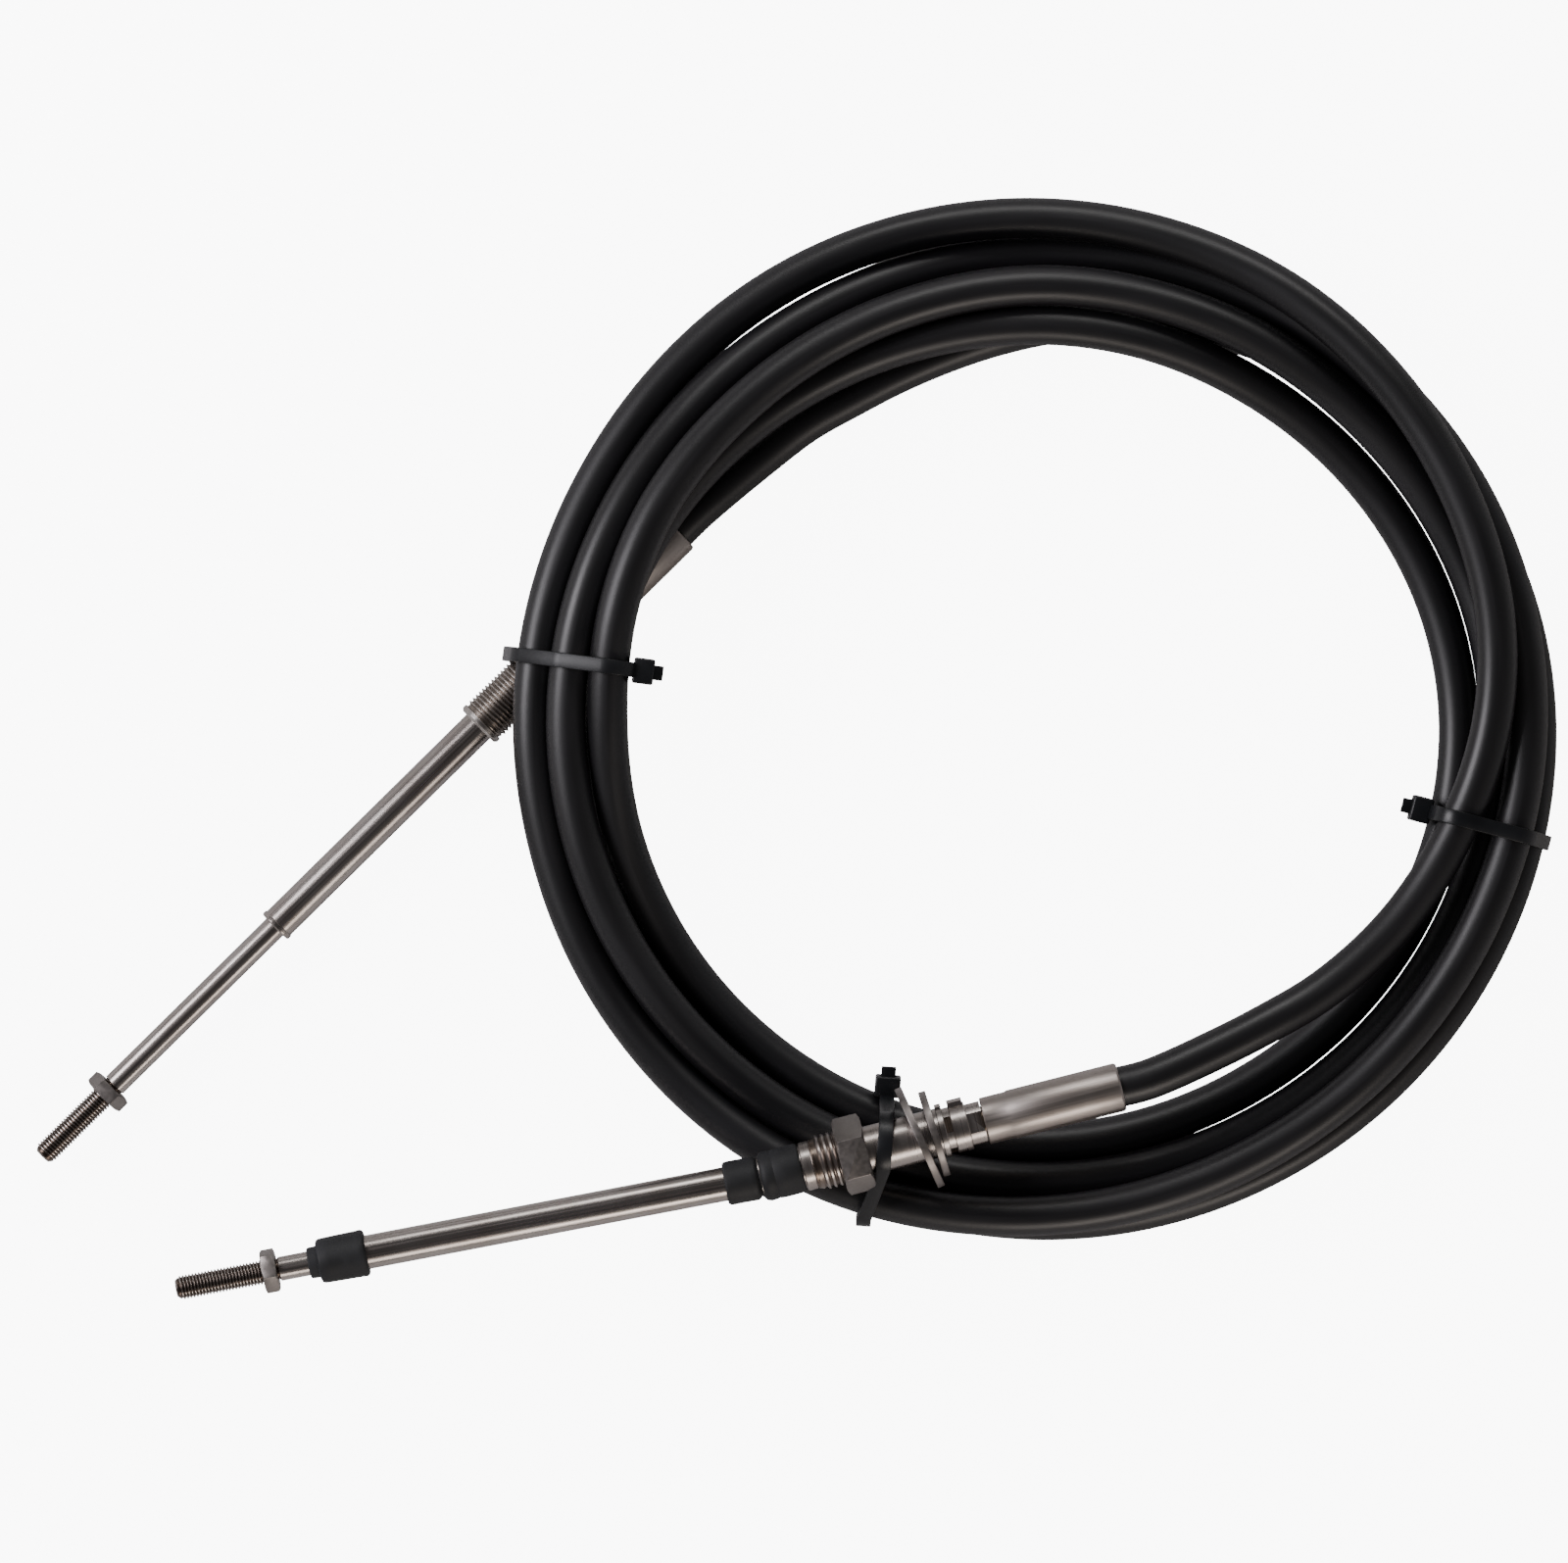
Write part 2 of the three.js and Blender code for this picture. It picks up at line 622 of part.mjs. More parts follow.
function hubSideA() {
  const side = endGroup(END_A, END_A.hubAngle);
  const hullNut = hexNut(HULL_NUT_AF, HULL_NUT_H, PANEL_THREAD_D + 2 * GAP).rotateX(Math.PI / 2);
  const plate = leaningPlate(PLATE_D, PLATE_T, PLATE_LEAN, PLATE_PLAY);
  const washer = leaningPlate(WASHER_D, WASHER_T, WASHER_LEAN, WASHER_PLAY);
  side.add(piece('hub_a', hubA(), STEEL));
  side.add(piece('boot_rear_a', rearBoot(), RUBBER));
  side.add(piece('hull_nut', hullNut.translate(SHANK_A - HULL_NUT_H - GAP, 0, 0), STEEL));
  side.add(piece('clip_plate', plate.translate(PLATE_AT, 0, 0), STEEL));
  side.add(piece('washer', washer.translate(WASHER_AT, 0, 0), STEEL));
  side.add(piece('crimp_sleeve_a', crimpSleeve(SLEEVE_A_START), STEEL));
  return side;
}

function rodSideB() {
  const side = endGroup(END_B, END_B.tubeAngle + 180);
  const neck = { diameter: TUBE_D, length: SOCKET_B_FRONT };
  const tube = supportTube(BALL_B_D, neck, TUBE_B_L, { diameter: LIP_D, length: LIP_L });
  side.add(piece('support_tube_b', tube, STEEL));
  side.add(piece('rod_b', rod(ROD_B_INNER, ROD_B_TIP), STEEL));
  side.add(jamNut('jam_nut_b', NUT_B_AT, NUT_B_TURN));
  return side;
}

function hubSideB() {
  const side = endGroup(END_B, END_B.hubAngle);
  side.add(piece('hub_b', hubB(), STEEL));
  side.add(piece('crimp_sleeve_b', crimpSleeve(SLEEVE_B_START), STEEL));
  return side;
}

function build() {
  const cable = new THREE.Group();
  cable.add(piece('conduit', conduit(), JACKET));
  cable.add(rodSideA(), hubSideA(), rodSideB(), hubSideB());
  for (const [name, tie] of Object.entries(TIES)) {
    cable.add(piece(name, cableTie(tie), NYLON));
  }
  // The origin is at the middle of the bottom of the whole part
  const bounds = new THREE.Box3().setFromObject(cable);
  const middle = bounds.getCenter(new THREE.Vector3());
  cable.position.set(-middle.x, -middle.y, -bounds.min.z);
  return cable;
}

export default build();
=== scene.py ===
"""Looks of a coiled push-pull steering cable for a boat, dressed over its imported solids.

Sizes are millimetres in the coil's frame. Every mesh is in metres in the part's frame.
"""

import logging
import math
from collections.abc import Iterable, Sequence
from dataclasses import dataclass
from enum import Enum

import bpy
import numpy as np
from mathutils import Matrix, Vector


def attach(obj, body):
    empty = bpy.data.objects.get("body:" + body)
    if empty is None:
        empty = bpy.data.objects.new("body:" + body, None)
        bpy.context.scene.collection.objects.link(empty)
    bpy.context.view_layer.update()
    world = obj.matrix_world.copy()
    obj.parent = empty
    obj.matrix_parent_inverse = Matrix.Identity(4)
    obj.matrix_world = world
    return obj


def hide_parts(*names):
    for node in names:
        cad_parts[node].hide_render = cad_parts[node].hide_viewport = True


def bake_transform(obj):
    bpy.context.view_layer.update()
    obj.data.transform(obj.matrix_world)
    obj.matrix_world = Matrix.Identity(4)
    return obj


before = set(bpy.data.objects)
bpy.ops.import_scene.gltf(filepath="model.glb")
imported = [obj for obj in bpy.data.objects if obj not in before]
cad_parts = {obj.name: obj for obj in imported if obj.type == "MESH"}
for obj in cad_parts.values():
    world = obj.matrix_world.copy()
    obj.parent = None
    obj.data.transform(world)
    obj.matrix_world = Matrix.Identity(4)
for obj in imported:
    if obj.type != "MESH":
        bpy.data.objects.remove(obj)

LOG = logging.getLogger("steering_cable")
MM = 0.001
COIL = Vector((79.271, 8.678, 0.408))
GAP = 0.3

Colour = tuple[float, float, float, float]
Outline = list[tuple[float, float]]
Piece = bpy.types.Object
Socket = bpy.types.NodeSocket


@dataclass(frozen=True)
class Seat:
    """The start of an axis in the coil's frame, and its direction in degrees from X."""

    x: float
    y: float
    z: float
    angle: float

    def local(self, along: float) -> Vector:
        """Gives the point that lies a distance along the axis, in the coil's frame."""
        turn = math.radians(self.angle)
        return Vector((self.x + along * math.cos(turn), self.y + along * math.sin(turn), self.z))

    def point(self, along: float = 0.0) -> Vector:
        """Gives the point that lies a distance along the axis, in the part's frame."""
        return (self.local(along) + COIL) * MM


TUBE_A = Seat(-87.8, -147.5, 39.1, 190.8)
HUB_A = Seat(-87.8, -147.5, 39.1, 14.2)
TUBE_B = Seat(-178.2, 3.3, 10.3, 224.6)
HUB_B = Seat(-178.2, 3.3, 10.3, 44.6)


# Finishes


class Shader:
    """The nodes of one material, added one after another."""

    def __init__(self, name: str) -> None:
        """Starts a material with its surface node.

        Args:
            name: The material's name.
        """
        self.material = bpy.data.materials.new(name)
        self.material.use_nodes = True
        tree = self.material.node_tree
        self.nodes, self.links = tree.nodes, tree.links
        self.nodes.clear()
        self.surface = self.add("ShaderNodeBsdfPrincipled", {})
        output = self.add("ShaderNodeOutputMaterial", {})
        self.links.new(self.surface.outputs["BSDF"], output.inputs["Surface"])

    def add(self, kind: str, sockets: dict, **settings: object) -> bpy.types.Node:
        """Adds a node, with its settings and what goes into its sockets.

        Args:
            kind: The node's type.
            sockets: A number, colour or another node's output for each socket.
            **settings: Properties of the node.

        Returns:
            The new node.
        """
        node = self.nodes.new(kind)
        for name, value in settings.items():
            setattr(node, name, value)
        self.feed(node, sockets)
        return node

    def feed(self, node: bpy.types.Node, sockets: dict) -> None:
        """Sets or links sockets of a node.

        Args:
            node: The node.
            sockets: A number, colour or another node's output for each socket.
        """
        for name, value in sockets.items():
            if isinstance(value, Socket):
                self.links.new(value, node.inputs[name])
            else:
                node.inputs[name].default_value = value

    def seated(self, seat: Seat) -> Socket:
        """Gives object coordinates turned so that X runs along a seat's axis.

        Args:
            seat: The axis that the piece lies on.

        Returns:
            The turned coordinates.
        """
        place = self.add("ShaderNodeTexCoord", {}).outputs["Object"]
        moved = self.add("ShaderNodeVectorMath", {0: place, 1: seat.point()}, operation="SUBTRACT")
        turned = self.add(
            "ShaderNodeVectorRotate",
            {"Vector": moved.outputs[0], "Angle": -math.radians(seat.angle)},
            rotation_type="Z_AXIS",
        )
        return turned.outputs[0]

    def noise(
        self, place: Socket, stretch: Sequence[float], detail: float = 3.0
    ) -> Socket:
        """Gives noise on coordinates that are stretched along each axis.

        Args:
            place: The coordinates.
            stretch: How many noise cells lie in a metre along each axis.
            detail: How many finer layers the noise has.

        Returns:
            The noise, from 0 to 1.
        """
        scaled = self.add("ShaderNodeMapping", {"Vector": place, "Scale": stretch})
        node = self.add(
            "ShaderNodeTexNoise", {"Vector": scaled.outputs[0], "Scale": 1.0, "Detail": detail}
        )
        return node.outputs[0]

    def span(
        self, value: Socket, source: Sequence[float], target: Sequence[float]
    ) -> Socket:
        """Maps a value from one range to another.

        Args:
            value: The value.
            source: The range that it comes in.
            target: The range that it goes to.

        Returns:
            The mapped value.
        """
        names = ("From Min", "From Max", "To Min", "To Max")
        ends = dict(zip(names, (*source, *target)))
        return self.add("ShaderNodeMapRange", {"Value": value, **ends}).outputs[0]

    def mix(
        self, factor: Socket, low: object, high: object
    ) -> Socket:
        """Mixes two colours."""
        return self.add("ShaderNodeMix", {0: factor, 6: low, 7: high}, data_type="RGBA").outputs[2]

    def bump(self, height: Socket, strength: float, depth: float) -> None:
        """Roughens the surface with small heights.

        Args:
            height: The heights, from 0 to 1.
            strength: How strongly they show.
            depth: The height of one step in metres.
        """
        ends = {"Height": height, "Strength": strength, "Distance": depth}
        bump = self.add("ShaderNodeBump", ends)
        self.feed(self.surface, {"Normal": bump.outputs[0]})


class Grain(Enum):
    """Which way the fine tool marks run, as noise cells in a metre along each axis."""

    DRAWN = (10.0, 1500.0, 1500.0)
    TURNED = (1900.0, 10.0, 10.0)
    TUMBLED = (700.0, 700.0, 700.0)


@dataclass(frozen=True)
class SteelFinish:
    """Stainless steel with fine tool marks, a faint warm tarnish, and painted shade with grime in
    its thread roots and grooves.
    """

    name: str
    colour: Colour = (0.44, 0.405, 0.38, 1)
    tarnish: Colour = (0.33, 0.285, 0.255, 1)
    hollow_shade_and_grime: Colour = (0.16, 0.125, 0.10, 1)
    roughness: tuple[float, float] = (0.24, 0.36)
    grain: Grain = Grain.TURNED
    relief: float = 0.05

    def material(self, seat: Seat) -> bpy.types.Material:
        """Makes the finish for a piece on an axis.

        Args:
            seat: The axis that the piece lies on.

        Returns:
            The material.
        """
        shader = Shader(self.name)
        place = shader.seated(seat)
        marks = shader.noise(place, self.grain.value, 4.0)
        patches = shader.noise(place, (90.0, 90.0, 90.0), 3.0)
        stain = shader.span(patches, (0.35, 0.7), (0.0, 0.55))
        metal = shader.mix(stain, self.colour, self.tarnish)
        # Painted shade with grime: points that lie deep in thread roots and grooves go towards a
        # dark brown.
        height = shader.add("ShaderNodeAttribute", {}, attribute_name="hollow_shade_and_grime").outputs["Fac"]
        colour = shader.mix(shader.span(height, (0.25, 1.0), (0.0, 1.0)), metal, self.hollow_shade_and_grime)
        shader.feed(
            shader.surface,
            {
                "Base Color": colour,
                "Metallic": 1.0,
                "Roughness": shader.span(marks, (0.3, 0.7), self.roughness),
            },
        )
        shader.bump(marks, self.relief, 0.00004)
        return shader.material


@dataclass(frozen=True)
class DarkFinish:
    """A black moulded or extruded surface: jacket, rubber or nylon."""

    name: str
    colour: Colour
    bloom: Colour
    roughness: tuple[float, float]
    specular: float
    cells: tuple[float, float, float]
    relief: float
    depth: float = 0.00008
    by_uv: bool = False

    def material(self, seat: Seat) -> bpy.types.Material:
        """Makes the finish for a piece on an axis, or along the piece's own map.

        Args:
            seat: The axis that the piece lies on.

        Returns:
            The material.
        """
        shader = Shader(self.name)
        if self.by_uv:
            place = shader.add("ShaderNodeTexCoord", {}).outputs["UV"]
        else:
            place = shader.seated(seat)
        fine = shader.noise(place, self.cells, 4.0)
        broad = shader.noise(place, [cells / 9 for cells in self.cells], 3.0)
        worn = shader.span(broad, (0.45, 0.75), (0.0, 1.0))
        shader.feed(
            shader.surface,
            {
                "Base Color": shader.mix(worn, self.colour, self.bloom),
                "Roughness": shader.span(broad, (0.3, 0.7), self.roughness),
                "Specular IOR Level": self.specular,
            },
        )
        shader.bump(fine, self.relief, self.depth)
        return shader.material


# Their dark brown for thread roots and grooves is painted shade with grime, lighter on the pale
# hub.
DRAWN_STEEL = SteelFinish(
    "steel_drawn", hollow_shade_and_grime=(0.10, 0.075, 0.06, 1), grain=Grain.DRAWN, roughness=(0.18, 0.34)
)
PALE_STEEL = SteelFinish(
    "steel_pale", colour=(0.54, 0.51, 0.48, 1), hollow_shade_and_grime=(0.26, 0.225, 0.195, 1)
)
TURNED_STEEL = SteelFinish("steel_turned")
TUMBLED_STEEL = SteelFinish(
    "steel_tumbled",
    colour=(0.26, 0.24, 0.228, 1),
    tarnish=(0.21, 0.19, 0.175, 1),
    grain=Grain.TUMBLED,
    roughness=(0.36, 0.50),
    relief=0.10,
)
SLEEVE_STEEL = SteelFinish(
    "steel_sleeve", colour=(0.40, 0.362, 0.335, 1), grain=Grain.DRAWN, roughness=(0.32, 0.46)
)
JACKET = DarkFinish(
    "jacket",
    colour=(0.0050, 0.0048, 0.0056, 1),
    bloom=(0.0085, 0.0080, 0.0098, 1),
    roughness=(0.36, 0.48),
    specular=0.5,
    cells=(120.0, 900.0, 900.0),
    relief=0.08,
    by_uv=True,
)
RUBBER = DarkFinish(
    "rubber",
    colour=(0.0055, 0.0060, 0.0070, 1),
    bloom=(0.014, 0.015, 0.018, 1),
    roughness=(0.55, 0.72),
    specular=0.42,
    cells=(1100.0, 700.0, 700.0),
    relief=0.25,
)
NYLON = DarkFinish(
    "nylon",
    colour=(0.0050, 0.0055, 0.0065, 1),
    bloom=(0.010, 0.011, 0.013, 1),
    roughness=(0.26, 0.40),
    specular=0.38,
    cells=(500.0, 500.0, 500.0),
    relief=0.10,
)


# Modelling steps


def spin(degrees: float, axis: str) -> Matrix:
    """Gives a turn about one axis."""
    return Matrix.Rotation(math.radians(degrees), 4, axis)


class Bench:
    """The modelling steps that every piece is made with."""

    @staticmethod
    def rest() -> None:
        """Leaves edit mode and deselects every object."""
        if bpy.context.object and bpy.context.object.mode != "OBJECT":
            bpy.ops.object.mode_set(mode="OBJECT")
        bpy.ops.object.select_all(action="DESELECT")

    @staticmethod
    def take(piece: Piece) -> None:
        """Selects one object alone and makes it active.

        Args:
            piece: The object.
        """
        Bench.rest()
        piece.select_set(True)
        bpy.context.view_layer.objects.active = piece

    @staticmethod
    def added(name: str) -> Piece:
        """Names the object that was just added.

        Args:
            name: Its new name.

        Returns:
            The object.
        """
        piece = bpy.context.object
        piece.name = piece.data.name = name
        return piece

    @staticmethod
    def wire(name: str, points: Sequence[Vector], closed: bool) -> Piece:
        """Draws a line of edges by extruding one point from place to place.

        Args:
            name: The object's name.
            points: Where the line's points are, in metres.
            closed: Whether the line comes back to its start.

        Returns:
            The object, left in edit mode with all of it selected.
        """
        Bench.rest()
        bpy.ops.mesh.primitive_plane_add(size=MM)
        piece = Bench.added(name)
        bpy.ops.object.mode_set(mode="EDIT")
        bpy.ops.mesh.select_all(action="SELECT")
        bpy.ops.mesh.merge(type="CENTER")
        bpy.ops.transform.translate(value=points[0])
        for start, end in zip(points, [*points[1:], points[0]] if closed else points[1:]):
            bpy.ops.mesh.extrude_vertices_move(TRANSFORM_OT_translate={"value": end - start})
        bpy.ops.mesh.select_all(action="SELECT")
        if closed:
            bpy.ops.mesh.remove_doubles(threshold=1e-7)
        return piece

    @staticmethod
    def turn(name: str, outline: Outline, facets: int = 64) -> Piece:
        """Turns a closed outline about the X axis.

        Args:
            name: The object's name.
            outline: The outline's points, each a place along the axis and a radius.
            facets: How many facets go round.

        Returns:
            The turned piece.
        """
        piece = Bench.wire(name, [Vector((x, 0, radius)) * MM for x, radius in outline], True)
        bpy.ops.mesh.spin(steps=facets, angle=2 * math.pi, center=(0, 0, 0), axis=(1, 0, 0))
        bpy.ops.mesh.select_all(action="SELECT")
        bpy.ops.mesh.remove_doubles(threshold=2e-6)
        Bench.outward()
        return piece

    @staticmethod
    def block(
        name: str, size: Sequence[float], at: Sequence[float], roll: float = 0.0
    ) -> Piece:
        """Makes a block with its middle at a place.

        Args:
            name: The object's name.
            size: Its three sizes.
            at: Its middle, before the roll.
            roll: Degrees that it is then turned about the X axis.

        Returns:
            The block.
        """
        Bench.rest()
        bpy.ops.mesh.primitive_cube_add(size=1, location=Vector(at) * MM, scale=Vector(size) * MM)
        block = Bench.added(name)
        bpy.ops.object.transform_apply(location=True, rotation=True, scale=True)
        Bench.move(block, spin(roll, "X"))
        return block

    @staticmethod
    def apply(piece: Piece, kind: str, **settings: object) -> None:
        """Adds a modifier and applies it at once.

        Args:
            piece: The object.
            kind: The modifier's type.
            **settings: Its properties.
        """
        Bench.take(piece)
        modifier = piece.modifiers.new(kind.lower(), kind)
        for name, value in settings.items():
            setattr(modifier, name, value)
        bpy.ops.object.modifier_apply(modifier=modifier.name)

    @staticmethod
    def cut(piece: Piece, tool: Piece, operation: str) -> None:
        """Cuts or joins a piece with another, which is used up."""
        Bench.apply(piece, "BOOLEAN", object=tool, operation=operation, solver="EXACT")
        bpy.data.objects.remove(tool)

    @staticmethod
    def soften(piece: Piece, width: float, segments: int = 2) -> None:
        """Rounds the sharp edges a little.

        Args:
            piece: The object.
            width: The rounding's width in millimetres.
            segments: How many facets each rounding has.
        """
        Bench.apply(
            piece,
            "BEVEL",
            width=width * MM,
            segments=segments,
            limit_method="ANGLE",
            angle_limit=math.radians(32),
        )

    @staticmethod
    def join(pieces: Sequence[Piece]) -> Piece:
        """Joins pieces into the first one.

        Args:
            pieces: The objects.

        Returns:
            The joined object.
        """
        Bench.take(pieces[0])
        for piece in pieces[1:]:
            piece.select_set(True)
        bpy.ops.object.join()
        return pieces[0]

    @staticmethod
    def move(piece: Piece, matrix: Matrix) -> None:
        """Moves a piece and keeps its own place at the start.

        Args:
            piece: The object.
            matrix: The move.
        """
        piece.matrix_world = matrix
        Bench.take(piece)
        bpy.ops.object.transform_apply(location=True, rotation=True, scale=True)

    @staticmethod
    def place(
        piece: Piece, seat: Seat, along: float = 0, roll: float = 0, lean: float = 0
    ) -> None:
        """Puts a piece that was built along X on a seat's axis."""
        turn = spin(seat.angle, "Z") @ spin(lean, "Z") @ spin(roll, "X")
        Bench.move(piece, Matrix.Translation(seat.point(along)) @ turn)

    @staticmethod
    def profile(piece: Piece) -> tuple[np.ndarray, np.ndarray]:
        """Gives each point's place along the X axis and its radius."""
        points = Bench.coordinates(piece) / MM
        return points[:, 0], np.hypot(points[:, 1], points[:, 2])

    @staticmethod
    def outward() -> None:
        """Turns the normals of the mesh in edit mode outward, and leaves edit mode."""
        bpy.ops.mesh.select_all(action="SELECT")
        bpy.ops.mesh.normals_make_consistent(inside=False)
        Bench.rest()

    @staticmethod
    def coordinates(piece: Piece) -> np.ndarray:
        """Reads the piece's points.

        Args:
            piece: The object.

        Returns:
            One row for each point, in metres.
        """
        flat = np.zeros(len(piece.data.vertices) * 3)
        piece.data.vertices.foreach_get("co", flat)
        return flat.reshape(-1, 3)

    @staticmethod
    def reshape(piece: Piece, points: np.ndarray) -> None:
        """Moves the piece's points."""
        piece.data.vertices.foreach_set("co", points.ravel())
        piece.data.update()

    @staticmethod
    def hollow_shade_and_grime(piece: Piece, values: Iterable[float]) -> None:
        """Notes how deep each point lies in a thread root or groove, for the painted shade and
        grime that the finish puts there.
        """
        layer = piece.data.attributes.new("hollow_shade_and_grime", "FLOAT", "POINT")
        layer.data.foreach_set("value", list(values))

    @staticmethod
    def dress(
        piece: Piece, material: bpy.types.Material, slot: str, body: str, *nodes: str
    ) -> Piece:
        """Finishes a piece: smooth facets, its material, its body and what it stands for.

        Args:
            piece: The object.
            material: Its finish.
            slot: Not used.
            body: The body that it rides on.
            *nodes: The solids that it stands for.

        Returns:
            The object.
        """
        Bench.take(piece)
        bpy.ops.object.shade_smooth_by_angle(angle=math.radians(34))
        piece.data.materials.clear()
        piece.data.materials.append(material)
        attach(piece, body)
        if nodes:
            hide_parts(*nodes)
        return piece


def arc(radius: float, start: float, end: float, steps: int) -> Outline:
    """Gives points of a circle about the axis's start."""
    angles = [start + (end - start) * i / steps for i in range(steps + 1)]
    return [(radius * math.cos(angle), radius * math.sin(angle)) for angle in angles]


@dataclass(frozen=True)
class Thread:
    """A right-handed screw thread about the X axis."""

    root: float
    crest: float
    pitch: float
    start: float
    length: float
    facets: int = 40
    flat: float = 0.10

    def build(self, name: str) -> Piece:
        """Makes the thread's ridge, which fades out over half a turn at both ends.

        Args:
            name: The object's name.

        Returns:
            The ridge.
        """
        turns = max(1, round(self.length / self.pitch) - 1)
        half, flat, base = self.pitch / 2, self.pitch * self.flat, self.root - GAP / 3
        crest = self.crest
        section = [(0, base), (half - flat, crest), (half + flat, crest), (self.pitch, base)]
        points = [Vector((self.start + x, 0, radius)) * MM for x, radius in section]
        ridge = Bench.wire(name, points, True)
        Bench.apply(
            ridge,
            "SCREW",
            axis="X",
            angle=2 * math.pi,
            screw_offset=self.pitch * MM,
            iterations=turns,
            steps=self.facets,
            render_steps=self.facets,
            use_merge_vertices=False,
        )
        self.fade(ridge, turns)
        Bench.take(ridge)
        bpy.ops.object.mode_set(mode="EDIT")
        bpy.ops.mesh.select_all(action="SELECT")
        bpy.ops.mesh.fill_holes(sides=len(section))
        Bench.outward()
        return ridge

    def fade(self, ridge: Piece, turns: int) -> None:
        """Lowers the ridge towards both of its ends, and notes how deep each point lies, for
        painted shade and grime in its roots.

        Args:
            ridge: The ridge.
            turns: How many turns it has.
        """
        points = Bench.coordinates(ridge)
        radius = np.hypot(points[:, 1], points[:, 2])
        base = (self.root - GAP / 3) * MM
        angle = np.unwrap(np.arctan2(points[:, 2], points[:, 1]).reshape(-1, 4), axis=0)
        step = np.abs(angle - angle[0]).mean(axis=1) / (2 * math.pi)
        share = np.clip(np.minimum(step, turns - step) * 2, 0, 1).repeat(4)
        lowered = base + (radius - base) * share
        points[:, 1:] *= (lowered / radius)[:, None]
        Bench.reshape(ridge, points)
        # Depth for the painted shade and grime: 1 at the root, 0 at the crest.
        depth = 1 - (lowered / MM - self.root) / (self.crest - self.root)
        Bench.hollow_shade_and_grime(ridge, np.clip(depth, 0, 1))


@dataclass(frozen=True)
class HexNut:
    """A hexagon nut with chamfered corners, along X from its start."""

    across: float
    height: float
    bore: float
    countersink: float
    inset: float = 0.1
    chamfer: float = 0.55

    def build(self, name: str) -> Piece:
        """Makes the nut.

        Args:
            name: The object's name.

        Returns:
            The nut.
        """
        corner = self.across / 2 / math.cos(math.pi / 6)
        Bench.rest()
        bpy.ops.mesh.primitive_cylinder_add(
            vertices=6,
            radius=corner * MM,
            depth=self.height * MM,
            location=(self.height / 2 * MM, 0, 0),
            rotation=(0, math.pi / 2, 0),
        )
        nut = Bench.added(name)
        bpy.ops.object.transform_apply(location=True, rotation=True, scale=True)
        Bench.cut(nut, self.envelope(corner), "INTERSECT")
        Bench.soften(nut, 0.14)
        return nut

    def envelope(self, corner: float) -> Piece:
        """Makes the turned shape that chamfers the corners and bores the nut.

        Args:
            corner: Radius at the hexagon's corners.

        Returns:
            The turned shape.
        """
        face, out = self.across / 2 - self.inset, corner + GAP
        slope = (corner - face) * self.chamfer
        bore = self.bore / 2
        sink = self.countersink
        return Bench.turn(
            "envelope",
            [
                (0, bore + sink), (0, face), (slope, out), (self.height - slope, out),
                (self.height, face), (self.height, bore + sink), (self.height - sink, bore),
                (sink, bore),
            ],
            96,
        )


# The route of the conduit

TURNS: list[list[tuple[float, float, float]]] = [
    [
        (-60, 121.3, 36.1), (-45, 126.5, 31.3), (-30, 133.4, 27.8), (-15, 140.2, 27.7),
        (0, 147.4, 31.0), (15, 152.4, 34.5), (30, 155.4, 35.6), (45, 158.5, 33.9),
        (60, 161.4, 29.4), (75, 163.0, 24.3), (90, 164.3, 20.5), (120, 165.6, 17.7),
        (150, 164.5, 22.3), (165, 164.6, 25.1), (180, 164.9, 24.6), (195, 165.0, 21.5),
        (210, 165.7, 19.7), (240, 165.6, 21.0), (270, 161.3, 22.7), (300, 158.1, 23.5),
        (330, 157.9, 23.8),
    ],
    [
        (0, 159.5, 23.6), (15, 160.0, 23.1), (30, 159.5, 22.6), (45, 158.2, 20.3),
        (60, 155.9, 16.4), (75, 154.3, 12.2), (90, 153.5, 10.6), (120, 152.0, 17.1),
        (150, 152.7, 30.4), (165, 153.4, 33.8), (172, 153.7, 33.6), (180, 153.9, 32.6),
        (195, 153.7, 29.2), (210, 153.2, 25.4), (225, 152.5, 21.8), (240, 151.6, 18.1),
        (255, 150.7, 15.4), (270, 150.7, 14.0), (300, 150.8, 11.9), (330, 151.4, 11.9),
    ],
    [
        (0, 150.9, 13.0), (15, 149.5, 14.5), (30, 147.0, 17.0), (45, 144.6, 20.2),
        (60, 143.4, 23.1), (75, 142.4, 25.1), (90, 142.0, 27.2), (105, 141.3, 28.6),
        (120, 141.0, 30.8), (135, 141.1, 34.8), (150, 142.0, 39.3), (165, 141.6, 40.7),
        (180, 140.4, 34.4), (195, 140.6, 23.4), (210, 140.4, 14.6), (240, 139.4, 8.9),
        (270, 138.4, 8.3), (300, 137.6, 8.2), (330, 138.3, 8.2),
    ],
    [
        (0, 138.1, 8.2), (15, 136.6, 8.2), (30, 134.2, 8.4), (45, 131.8, 10.2),
        (60, 130.0, 14.6), (75, 129.4, 19.9), (90, 129.4, 21.9), (105, 130.2, 20.7),
        (120, 132.3, 20.2), (135, 135.4, 22.3), (150, 139.3, 25.3), (165, 143.4, 24.7),
        (172, 146.4, 21.9), (180, 149.5, 18.1), (195, 153.6, 11.8), (210, 157.0, 8.9),
        (240, 161.0, 8.2), (270, 163.4, 8.3), (300, 164.2, 8.2), (330, 164.5, 8.2),
    ],
    [
        (0, 163.6, 8.2), (15, 161.6, 8.2), (30, 157.5, 8.2), (45, 151.6, 8.2), (60, 144.4, 8.2),
        (75, 136.8, 8.2), (90, 129.5, 8.2), (105, 124.2, 8.2), (120, 122.5, 8.2),
        (135, 125.0, 8.2),
    ],
]


